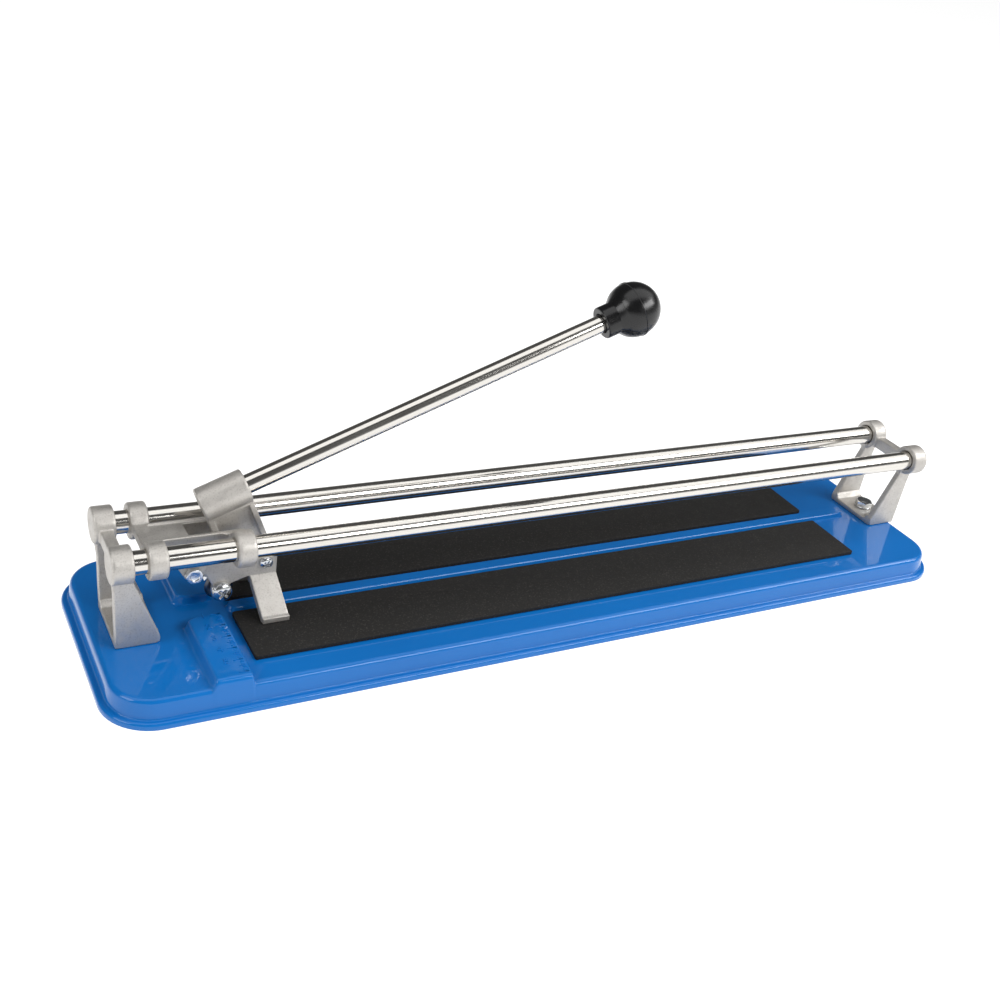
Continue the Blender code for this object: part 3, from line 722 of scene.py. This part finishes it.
def thread_tree():
    """A helical thread: a three-sided ridge wound along +Z."""
    tree, given, result = tree_with("screw_thread", {
        "Radius": "NodeSocketFloat", "Depth": "NodeSocketFloat", "Turns": "NodeSocketFloat",
        "Length": "NodeSocketFloat", "Material": "NodeSocketMaterial"})
    nodes, link = tree.nodes, tree.links.new
    wind = nodes.new("GeometryNodeCurveSpiral")
    wind.inputs["Resolution"].default_value = 24
    link(given.outputs["Turns"], wind.inputs["Rotations"])
    link(given.outputs["Radius"], wind.inputs["Start Radius"])
    link(given.outputs["Radius"], wind.inputs["End Radius"])
    link(given.outputs["Length"], wind.inputs["Height"])
    ridge = nodes.new("GeometryNodeCurvePrimitiveCircle")
    ridge.inputs["Resolution"].default_value = 4
    link(given.outputs["Depth"], ridge.inputs["Radius"])
    sweep = nodes.new("GeometryNodeCurveToMesh")
    sweep.inputs["Fill Caps"].default_value = True
    link(wind.outputs[0], sweep.inputs["Curve"])
    link(ridge.outputs[0], sweep.inputs["Profile Curve"])
    return finish_tree(tree, given, result, sweep.outputs[0])


TICKS = ticks_tree()
THREAD = thread_tree()


def make_fence_scale():
    """Embossed ticks and numerals on the near fence, counted in centimetres from the middle."""
    marks = []
    edge = FENCE_X[1] - FENCE_SLOPE[1] - 0.7 * MM
    top = DECK_TOP + FENCE_RISE
    rows = (("ticks_fine", -10 * MM, 2 * MM, 26, 2.2 * MM), ("ticks_half", -15 * MM, 10 * MM, 5, 3.4 * MM),
            ("ticks_whole", -10 * MM, 10 * MM, 6, 5 * MM))
    for name, start, spacing, count, length in rows:
        row = run_tree(name, TICKS, {"Count": count, "Spacing": spacing, "Length": length, "Width": 0.55 * MM,
                                     "Height": 0.6 * MM, "Material": FINISHES["blue_paint"]})
        row.location = (edge - length / 2, start, top)
        marks.append(soft_edges(row, 0.12 * MM))
    for number in range(1, 6):
        text = bpy.data.curves.new(f"numeral_{number}", "FONT")
        text.body = str(number)
        text.size = 6.2 * MM
        text.extrude = 0.28 * MM
        text.bevel_depth = 0.08 * MM
        text.resolution_u = 4
        text.align_x = "CENTER"
        text.align_y = "CENTER"
        numeral = put(text.name, text)
        numeral.location = (edge - 8.4 * MM, -10 * MM * number, top)
        marks.append(put(f"{text.name}_solid", evaluated_mesh(numeral)))
        bpy.data.objects.remove(numeral)
    return finished(merge("fence_scale", marks), "base", "blue_paint")


def merge(name, made):
    """One object from several plain meshes at the origin."""
    bm = bmesh.new()
    for item in made:
        bm.from_mesh(item.data)
        bpy.data.objects.remove(item)
    whole = add(name, bm, recalculate=False)
    whole.data.shade_smooth()
    whole.data.set_sharp_from_angle(angle=radians(30))
    return whole


# ---------------------------------------------------------------- pads, rails


def make_pad(side):
    low, high = corners(f"pad_{side}")
    outline = round_outline(low.xy, high.xy, 1.2 * MM, 4)
    pad = prism(f"bed_pad_{side}", outline, "XY", (low.z - 0.2 * MM, high.z))
    soft_edges(pad, 0.35 * MM, 3)
    finished(pad, "base", "black_rubber", f"pad_{side}")


def make_rail(side):
    low, high = corners(f"rail_{side}")
    y = (low.y + high.y) / 2
    length = high.x - low.x
    chamfer = 0.8 * MM
    profile = [(0, 0), (0, RAIL_RADIUS - chamfer), (chamfer, RAIL_RADIUS), (length - chamfer, RAIL_RADIUS),
               (length, RAIL_RADIUS - chamfer), (length, 0)]
    rail = lathe(f"guide_rail_{side}", profile, (low.x, y, RAIL.z), (1, 0, 0))
    finished(settle(rail), "base", "chrome", f"rail_{side}")


# ---------------------------------------------------------------- end brackets


def make_bracket(side):
    low, high = corners(f"end_bracket_{side}")
    way = 1 if side == "left" else -1
    end = low.x if way > 0 else high.x
    outer = end + way * BOSS_PROUD
    inner = outer + way * FOOT_LENGTH
    foot = low.z - 0.25 * MM
    corner = 2.2 * MM
    under_boss = RAIL.z - BOSS_RADIUS - 1 * MM
    back = 0.9 * MM
    leg = [(outer + way * back, foot), (inner - way * corner, foot),
           (inner - way * 0.7 * MM, foot + 0.7 * MM), (inner, foot + corner),
           (inner - way * 0.2 * MM, foot + 4.5 * MM), (outer + way * LEG_TOP, under_boss),
           (outer + way * (LEG_TOP - 0.6 * MM), RAIL.z), (end + way * back, RAIL.z),
           (end + way * back, under_boss + 4 * MM), (outer, under_boss - 6 * MM)]
    bosses, legs, bores = [], [], []
    edge, chamfer = 1.4 * MM, 0.5 * MM
    boss = [(0, 0), (0, BOSS_RADIUS - edge)] + bend((edge, BOSS_RADIUS - edge), edge, 180, 90)
    boss += [(BOSS_DEPTH - chamfer, BOSS_RADIUS), (BOSS_DEPTH, BOSS_RADIUS - chamfer), (BOSS_DEPTH, 0)]
    for sign in (-1, 1):
        y = sign * RAIL.y
        bosses.append(lathe(f"boss{sign}", boss, (end, y, RAIL.z), (way, 0, 0)))
        span = sorted((sign * FOOT_HALF, sign * (FOOT_HALF - LEG_THICK)))
        legs.append(prism(f"leg{sign}", leg, "XZ", span))
        bores.append(rod(f"bore{sign}", (end + way * 2 * MM, y, RAIL.z), (end + way * 14 * MM, y, RAIL.z),
                         RAIL_RADIUS + 0.35 * MM))
    web = sorted((outer + way * 0.3 * MM, outer + way * BRIDGE_THICK))
    frame_low = foot + FOOT_THICK
    crown = 7.5 * MM
    shoulder = BRIDGE_HIGH - 2 * MM
    brow = [(-RAIL.y, BRIDGE_LOW - 8 * MM), (RAIL.y, BRIDGE_LOW - 8 * MM), (RAIL.y, shoulder),
            (crown, BRIDGE_HIGH), (-crown, BRIDGE_HIGH), (-RAIL.y, shoulder)]
    bridge = prism("bridge", brow, "YZ", web)
    window = FOOT_HALF - LEG_THICK
    arch = prism("arch", round_outline((-window, frame_low + 2 * MM), (window, BRIDGE_LOW), 6 * MM), "YZ",
                 (web[0] - 9 * MM, web[1] + 9 * MM))
    fuse(bridge, cuts=[arch])
    plate = sorted((outer + way * 0.7 * MM, inner))
    foot_half = FOOT_HALF - 1 * MM
    foot_plate = slab("foot_plate", (plate[0], -foot_half, foot), (plate[1], foot_half, frame_low))
    welts = []
    for sign in (-1, 1):
        inside = sign * (window + 0.5 * MM)
        toe = sign * (window - 3.2 * MM)
        welt = [(inside, foot + 1 * MM), (inside, frame_low + 3.4 * MM),
                (sign * (window - 1 * MM), frame_low + 2.4 * MM), (toe, frame_low - 0.4 * MM),
                (toe, foot + 1 * MM)]
        welts.append(prism(f"welt{sign}", welt, "YZ", (plate[0] + 0.4 * MM, plate[1] - 0.4 * MM)))
    bolt = middle(f"bracket_bolt_{side}")
    hole = rod("foot_hole", (bolt.x, 0, foot - 3 * MM), (bolt.x, 0, foot + 9 * MM), 3.4 * MM)
    bracket = fuse(bosses[0], [bosses[1], *legs, bridge, foot_plate, *welts], [*bores, hole])
    bracket.name = f"cast_bracket_{side}"
    finished(cast_skin(bracket, 0.42 * MM, 5), "base", "cast_metal", f"end_bracket_{side}")


# ---------------------------------------------------------------- carriage


def round_barrel(length, radius, edge):
    """(distance along, radius) points of a solid barrel with rounded ends."""
    profile = [(0, 0), (0, radius - edge)] + bend((edge, radius - edge), edge, 180, 90, 4)
    return profile + bend((length - edge, radius - edge), edge, 90, 0, 4) + [(length, 0)]


def ring_places():
    """Name, X span and Y of the four rings on the rails."""
    for end in ("left", "right"):
        for side, y in (("near", -RAIL.y), ("far", RAIL.y)):
            low, high = corners(f"bush_{end}_{side}")
            yield f"{end}_{side}", (low.x - 0.2 * MM, high.x + 0.2 * MM), y


def make_carriage():
    spans = {name.split("_")[0]: span for name, span, _ in ring_places()}
    left, right = spans["left"], spans["right"]
    low_z = PLATE_TOP - PLATE_THICK
    plate_low = (left[0] + 0.9 * MM, -PLATE_HALF, low_z)
    plate = slab("plate", plate_low, (right[1] - 0.4 * MM, PLATE_HALF, PLATE_TOP))
    solids, cuts = [], []
    dip, rise = 9.5 * MM, 13 * MM
    arm = [(-RAIL.y, low_z - 0.5 * MM), (RAIL.y, low_z - 0.5 * MM), (RAIL.y, PLATE_TOP + 3 * MM),
           (rise, PLATE_TOP + 2 * MM), (dip, PLATE_TOP), (-dip, PLATE_TOP), (-rise, PLATE_TOP + 2 * MM),
           (-RAIL.y, PLATE_TOP + 3 * MM)]
    for start, end in (left, right):
        solids.append(prism("arm", arm, "YZ", (start + 0.5 * MM, end - 0.5 * MM)))
    lip_end = right[0] - 4 * MM
    lip_top = PLATE_TOP + 0.9 * MM
    lip = [(left[1] - 2 * MM, PLATE_TOP - 2 * MM), (left[1] - 2 * MM, lip_top), (lip_end, lip_top)]
    lip += bend((lip_end, PLATE_TOP - 3.1 * MM), 4 * MM, 80, 10, 5)
    lip += [(right[0] + 1 * MM, low_z - 1 * MM), (lip_end, low_z + 1 * MM),
            (left[1] + 1 * MM, low_z + 1 * MM)]
    ear = [(EAR_X[0], low_z + 1 * MM)] + bend((PIVOT.x, PIVOT.z), EAR_RADIUS, 215, 335, 12)
    ear += [(EAR_X[1], low_z + 1 * MM)]
    for sign in (-1, 1):
        span = sorted((sign * (PLATE_HALF - 1.2 * MM), sign * (PLATE_HALF + 0.3 * MM)))
        solids.append(prism("lip", lip, "XZ", span))
        solids.append(prism("ear", ear, "XZ", sorted((sign * EAR_Y[0], sign * EAR_Y[1]))))
    edge = 1.3 * MM
    for name, (start, end), y in ring_places():
        profile = round_barrel(end - start, BOSS_RADIUS, edge)
        solids.append(lathe(f"ring_{name}", profile, (start, y, RAIL.z), (1, 0, 0)))
        bore_ends = (start - 4 * MM, y, RAIL.z), (end + 4 * MM, y, RAIL.z)
        cuts.append(rod(f"ring_bore_{name}", *bore_ends, RING_BORE))
    slot_high = (right[1] + 5 * MM, SLOT_HALF, PLATE_TOP + 7 * MM)
    cuts.append(slab("slot", (SLOT_START, -SLOT_HALF, low_z - 7 * MM), slot_high))
    cuts += cross_holes("pivot_hole", 20 * MM, (PIVOT, 2.6 * MM))
    casting = fuse(plate, solids, cuts)
    casting.name = "cast_carriage"
    finished(cast_skin(casting, 0.4 * MM, 5), "carriage", "cast_metal", "carriage")


def make_bushes():
    for name, (start, end), y in ring_places():
        width = end - start - 0.4 * MM
        outside, inside, edge = RING_BORE + 0.35 * MM, RAIL_RADIUS + 0.1 * MM, 0.3 * MM
        profile = [(0, inside + edge), (0, outside), (width, outside), (width, inside + edge),
                   (width - edge, inside), (edge, inside)]
        bush = lathe(f"rail_bush_{name}", profile, (start + 0.2 * MM, y, RAIL.z), (1, 0, 0), closed=True)
        finished(settle(bush), "carriage", "cast_metal", f"bush_{name}")


# ---------------------------------------------------------------- lever


ALONG_LEVER = Vector((cos(LEVER_ANGLE), 0, sin(LEVER_ANGLE)))
OFF_LEVER = Vector((-sin(LEVER_ANGLE), 0, cos(LEVER_ANGLE)))


def lever_point(along, off=0):
    return SOCKET + ALONG_LEVER * along + OFF_LEVER * off


def flat(along, off):
    point = lever_point(along, off)
    return (point.x, point.z)


def make_lever_head():
    barrel = round_barrel(2 * SOCKET_HALF, SOCKET_RADIUS, 0.9 * MM)
    head = lathe("cast_lever_head", barrel, lever_point(-SOCKET_HALF), ALONG_LEVER)
    side = SOCKET_HALF - 0.2 * MM
    apron = [flat(-side, -3 * MM), flat(side, -3 * MM), flat(side, APRON_LOW[1]), flat(-side, APRON_LOW[0])]
    web = [flat(-SOCKET_HALF + 2 * MM, APRON_LOW[0] + 4 * MM), (PIVOT.x, WEB_NECK)]
    web += bend((PIVOT.x, PIVOT.z), WEB_EYE, 95, 255, 10)
    web += bend((WHEEL.x, WHEEL.z), WEB_OVER_WHEEL, 130, 60, 8)
    web += [(WEB_TAIL_X[0], WEB_TAIL_Z[0]), (WEB_TAIL_X[1], WEB_TAIL_Z[0]), (WEB_TAIL_X[1], WEB_TAIL_Z[1]),
            flat(SOCKET_HALF - 2 * MM, APRON_LOW[1] + 4 * MM)]
    solids = [prism("apron", apron, "XZ", (-APRON_HALF, APRON_HALF)),
              prism("web", web, "XZ", (-WEB_HALF, WEB_HALF))]
    inside = SOCKET_HALF - 3 * MM
    pocket = [flat(-inside, -9 * MM), flat(inside, -9 * MM), flat(inside, APRON_LOW[1] + 3.5 * MM),
              flat(-inside, APRON_LOW[0] + 2 * MM)]
    cuts = [prism(f"pocket{sign}", pocket, "XZ", sorted((sign * 1.9 * MM, sign * 12 * MM)))
            for sign in (-1, 1)]
    cuts.append(rod("socket_bore", lever_point(-SOCKET_HALF + 3 * MM), lever_point(SOCKET_HALF + 4 * MM),
                    TUBE_RADIUS + 0.3 * MM))
    cuts += cross_holes("head_hole", 20 * MM, (PIVOT, PIVOT_HOLE), (CLAMP, CLAMP_HOLE))
    fuse(head, solids, cuts)
    finished(cast_skin(head, 0.34 * MM, 4), "lever", "cast_metal", "lever_head")


def make_lever_tube():
    start, end = -SOCKET_HALF + 3.4 * MM, KNOB_DISTANCE - 3 * MM
    length = end - start
    edge = 0.4 * MM
    bore = TUBE_RADIUS - TUBE_WALL
    profile = [(0, bore), (0, TUBE_RADIUS - edge), (edge, TUBE_RADIUS), (length - edge, TUBE_RADIUS),
               (length, TUBE_RADIUS - edge), (length, bore)]
    tube = lathe("plated_lever_tube", profile, lever_point(start), ALONG_LEVER, closed=True)
    finished(settle(tube), "lever", "chrome", "lever_tube", finish="lever_chrome")


def make_knob():
    """A ball in two mould halves with a rough parting ring, and a collar round the tube."""
    collar, collar_length, hole = 9 * MM, 8 * MM, TUBE_RADIUS + 0.35 * MM
    neck = -sqrt(KNOB_RADIUS ** 2 - collar ** 2)
    foot = neck - collar_length
    edge = 0.9 * MM
    profile = [(-2.5 * MM, 0), (-2.5 * MM, hole), (foot + 0.5 * MM, hole), (foot, hole + 0.5 * MM),
               (foot, collar - edge)]
    profile += bend((foot + edge, collar - edge), edge, 180, 90, 4)
    profile += [(neck - 0.5 * MM, collar), (neck - 0.1 * MM, collar + 0.1 * MM)]
    parting = 0.75 * MM
    ball = []
    steps = 40
    start = radians(126.5)
    for i in range(steps + 1):
        angle = start * (1 - i / steps)
        along = KNOB_RADIUS * cos(angle)
        radius = KNOB_RADIUS * sin(angle)
        if along > parting:
            radius *= 0.988
        ball.append((along, radius if i < steps else 0))
    seam = [(-parting, KNOB_RADIUS * 0.999), (-parting * 0.7, KNOB_RADIUS + 0.3 * MM),
            (parting * 0.7, KNOB_RADIUS + 0.3 * MM), (parting, KNOB_RADIUS * 0.988)]
    profile += [point for point in ball if point[0] < -parting] + seam
    profile += [point for point in ball if point[0] > parting]
    knob = lathe("ball_knob", profile, lever_point(KNOB_DISTANCE), ALONG_LEVER)
    finished(settle(knob, sharp=45), "lever", "black_plastic", "knob")


def make_wing_plate(side):
    sign = -1 if side == "near" else 1
    shape = [*bend((PIVOT.x, PIVOT.z), EAR_RADIUS, 100, 235, 12), *WING_THROAT,
             *bend((WHEEL.x, WHEEL.z), WING_EYE, 180, 360, 14), *WING_BACK]
    plate = prism(f"cast_wing_{side}", shape, "XZ", sorted((sign * WING_Y[0], sign * WING_Y[1])))
    base = corners(f"wing_plate_{side}")[0].z
    section = [(3 * MM, 36.4 * MM), (5.4 * MM, 36 * MM), (WING_TIP - 1.6 * MM, base + 3.5 * MM),
               (WING_TIP, base + 2.9 * MM), (WING_TIP, base), (WING_TIP - 3 * MM, base), (4.6 * MM, 32 * MM),
               (3 * MM, 32 * MM)]
    foot = prism("wing_foot", [(sign * y, z) for y, z in section], "YZ", WING_FOOT_X)
    for vert in foot.data.vertices:
        vert.co.x += WING_SHEAR * (abs(vert.co.y) - WING_Y[1])
    holes = ((PIVOT, PIVOT_HOLE), (WHEEL, WHEEL_HOLE), (CLAMP, CLAMP_HOLE))
    fuse(plate, [foot], cross_holes("wing_hole", 10 * MM, *holes))
    finished(cast_skin(plate, 0.3 * MM, 3), "lever", "cast_metal", f"wing_plate_{side}")


# ---------------------------------------------------------------- fasteners and wheel


def shank(name, start, toward, radius, length, threaded):
    """A plain shank with a wound thread over its last stretch."""
    toward = Vector(toward).normalized()
    core = radius - THREAD_DEPTH
    smooth = length - threaded
    tip = 0.5 * MM
    profile = [(0, radius), (smooth, radius), (smooth + 0.2 * MM, core), (length - tip, core),
               (length, core - tip)]
    body = settle(lathe(name, profile, start, toward, sides=48))
    pitch = radius / 3
    wound = threaded - 1 * MM
    values = {"Radius": core, "Depth": THREAD_DEPTH, "Turns": wound / pitch, "Length": wound}
    thread = run_tree(name + "_thread", THREAD, {**values, "Material": FINISHES["zinc_plate"]})
    return [body, settle(aim(thread, Vector(start) + toward * (smooth + 0.3 * MM), toward))]


def hex_block(name, seat, toward, radius, height, hole=None, both=False, dish=0.15 * MM):
    """A hexagon with chamfered corners; a nut where a hole is given, a dished bolt head where it isn't."""
    block = lathe(name, [(0, radius), (height, radius)], seat, toward, sides=6)
    settle(block, sharp=20)
    hair = 0.01 * MM
    land = radius * cos(pi / 6) * 0.97
    drop = (radius - land) * 0.5
    foot = [(-hair, land), (drop, radius + hair)] if both else [(-hair, radius + hair)]
    dome = [(-hair, 0), *foot, (height - drop, radius + hair), (height + hair, land), (height + hair, 0)]
    fuse(block, keeps=[lathe("chamfer", dome, seat, toward, sides=72)], sharp=20)
    if hole:
        mouth = hole + 1.2 * MM
        hollow = [(-1 * MM, 0), (-1 * MM, mouth), (0.5 * MM, hole), (height - 0.5 * MM, hole),
                  (height + 1 * MM, mouth), (height + 1 * MM, 0)]
    else:
        hollow = [(height - dish, 0), (height - dish, radius * 0.48), (height + dish, radius * 0.62),
                  (height + dish, 0)]
    fuse(block, cuts=[lathe("hollow", hollow, seat, toward, sides=48)])
    return soft_edges(block, 0.12 * MM, 2, 25)


def washer(name, seat, toward, radius, hole, height):
    edge = 0.25 * MM
    profile = [(0, hole), (0, radius - edge), (edge, radius), (height - edge, radius),
               (height, radius - edge), (height, hole)]
    return settle(lathe(name, profile, seat, toward, closed=True, sides=64))


def pan_head(name, seat, toward, radius):
    """A domed screw head with a cross recess."""
    unit = radius / SCREW_DOME[2][1]
    head = lathe(name, [(along * unit, out * unit) for along, out in SCREW_DOME], seat, toward, sides=72)
    settle(head, sharp=50)
    toward = Vector(toward).normalized()
    upright = UP.rotation_difference(toward).to_matrix().to_4x4()
    blades = []
    for turn in (50, 140):
        blade = slab("blade", (-3.0 * unit, -0.72 * unit, 0), (3.0 * unit, 0.72 * unit, 2.6 * unit))
        for vert in blade.data.vertices:
            if vert.co.z < 0.1 * unit:
                vert.co.x *= 0.42
                vert.co.y *= 0.72
        blade.matrix_world = (Matrix.Translation(Vector(seat) + toward * unit) @ upright
                              @ Matrix.Rotation(radians(turn), 4, "Z"))
        blades.append(blade)
    fuse(head, cuts=blades)
    return soft_edges(head, 0.08 * MM, 2, 35)


def make_bracket_fasteners():
    for side in ("left", "right"):
        low, high = corners(f"bracket_bolt_{side}")
        x = (low.x + high.x) / 2
        seat = high.z - 4 * MM
        head = hex_block("head", (x, 0, seat - 0.2 * MM), UP, M6_HEX, 4.2 * MM)
        flange = washer("flange", (x, 0, seat - 0.28 * MM), UP, 5.3 * MM, 1 * MM, 0.6 * MM)
        body = shank("shank", (x, 0, seat + 1 * MM), -UP, 3 * MM, seat + 1 * MM - low.z, 9 * MM)
        bolt = merge(f"foot_bolt_{side}", [head, flange, *body])
        finished(bolt, "base", "zinc_plate", f"bracket_bolt_{side}")
        low, high = corners(f"bracket_washer_{side}")
        radius = (high.y - low.y) / 2
        ring = washer(f"foot_washer_{side}", (x, 0, low.z), UP, radius, 3.3 * MM, high.z - low.z)
        finished(ring, "base", "zinc_plate", f"bracket_washer_{side}")
        low, high = corners(f"bracket_nut_{side}")
        nut = hex_block(f"foot_nut_{side}", (x, 0, low.z), UP, M6_HEX, high.z - low.z, 3.15 * MM, both=True)
        finished(nut, "base", "zinc_plate", f"bracket_nut_{side}")


def make_cross_fasteners():
    """The pivot bolt, the wheel screw and the clamp screw, with their nuts on the far side."""
    ear_seat, wing_seat = -EAR_Y[1] - 0.2 * MM, -WING_Y[1] - 0.2 * MM
    for name, nut, body, seat_y, radius, threaded in (
            ("pivot_bolt", "pivot_nut", "carriage", ear_seat, 2.5 * MM, 8 * MM),
            ("wheel_screw", "wheel_nut", "lever", wing_seat, 3 * MM, 9 * MM),
            ("clamp_screw", "clamp_nut", "lever", wing_seat, 2 * MM, 6 * MM)):
        low, high = corners(name)
        nut_low, nut_high = corners(nut)
        centre = (low + high) / 2
        seat = (centre.x, seat_y, centre.z)
        near = (0, -1, 0)
        if name == "pivot_bolt":
            head = hex_block("head", seat, near, (high.z - low.z) / 2, seat_y - low.y, dish=0.4 * MM)
        else:
            head = pan_head("head", seat, near, (high.z - low.z) / 2)
        start = (centre.x, seat_y - 1 * MM, centre.z)
        parts = shank("shank", start, (0, 1, 0), radius, high.y - start[1], threaded)
        finished(merge(f"{name}_plated", [head, *parts]), body, "zinc_plate", name)
        size = nut_high - nut_low
        shown = hex_block(f"{nut}_plated", (centre.x, nut_low.y, centre.z), (0, 1, 0), size.z / 2, size.y,
                          radius + 0.12 * MM, both=True)
        finished(shown, body, "zinc_plate", nut)


def make_wheel():
    low, high = corners("scoring_wheel")
    radius, half = (high.x - low.x) / 2, (high.y - low.y) / 2
    bore, land, edge = 3.1 * MM, radius - 1.35 * MM, 0.08 * MM
    profile = [(-half, bore), (-half, land), (-edge, radius), (edge, radius), (half, land), (half, bore)]
    wheel = lathe("carbide_wheel", profile, WHEEL, (0, 1, 0), closed=True, sides=128)
    finished(settle(wheel, sharp=15), "wheel", "wheel_steel", "scoring_wheel")
    for side in ("near", "far"):
        low, high = corners(f"wheel_spacer_{side}")
        size = high - low
        spacer = washer(f"spacer_{side}", (WHEEL.x, low.y, WHEEL.z), (0, 1, 0), size.z / 2, 3.3 * MM, size.y)
        finished(spacer, "lever", "zinc_plate", f"wheel_spacer_{side}")


# ---------------------------------------------------------------- studio


def make_floor():
    bm = bmesh.new()
    reach = 20                    # metres
    bmesh.ops.create_grid(bm, x_segments=1, y_segments=1, size=reach)
    floor = add("floor", bm, recalculate=False)
    floor.location = (0, 0, -0.2 * MM)
    paper = Finish("lit_table", Base_Color=(0.35, 0.35, 0.35, 1), Roughness=0.9, Emission_Color=(1, 1, 1, 1),
                   Emission_Strength=0.93)
    floor.data.materials.append(paper.material)


def soft_box(name, place, target, size, power):
    light = bpy.data.lights.new(name, "AREA")
    light.shape = "RECTANGLE"
    light.size, light.size_y = size
    light.energy = power
    box = put(name, light)
    box.location = place
    box.rotation_euler = (Vector(target) - Vector(place)).to_track_quat("-Z", "Y").to_euler()


def make_room():
    """A dim room above a pale horizon, so that gloss has something dark to show between the lights."""
    world = bpy.data.worlds.new("studio")
    bpy.context.scene.world = world
    world.use_nodes = True
    tree = world.node_tree
    split = tree.nodes.new("ShaderNodeSeparateXYZ")
    tree.links.new(tree.nodes.new("ShaderNodeTexCoord").outputs["Generated"], split.inputs[0])
    horizon, dusk = 0.8, 0.085
    strength = map_range(tree, split.outputs["Z"], 0.02, 0.16, horizon, dusk)
    tree.links.new(strength, tree.nodes["Background"].inputs["Strength"])
    tree.nodes["Background"].inputs["Color"].default_value = (1, 1, 1, 1)


def make_studio():
    make_floor()
    make_room()
    soft_box("above", (1.1, -0.1, 2.2), (1.1, -0.1, 0), (5.8, 1.7), 40)
    soft_box("left", (-2.0, -0.4, 1.25), (0, 0, 0.05), (1.1, 1.1), 16)
    soft_box("right", (1.45, -1.45, 1.45), (0.15, 0, 0.05), (2.4, 0.75), 46)
    bpy.context.scene.view_settings.view_transform = "Standard"
    lens = bpy.data.cameras.new("camera")
    lens.lens = 44.297
    lens.sensor_width = 36
    camera = put("camera", lens)
    camera.location = (-0.36605, -0.51919, 0.39372)
    camera.rotation_euler = (1.06682, -0.14575, -0.48276)
    bpy.context.scene.camera = camera


# ---------------------------------------------------------------- the whole cutter
make_studio()
make_pan()
make_fence_scale()
for face in ("near", "far"):
    make_pad(face)
    make_rail(face)
    make_wing_plate(face)
for end in ("left", "right"):
    make_bracket(end)
make_bracket_fasteners()
make_carriage()
make_bushes()
make_lever_head()
make_lever_tube()
make_knob()
make_cross_fasteners()
make_wheel()
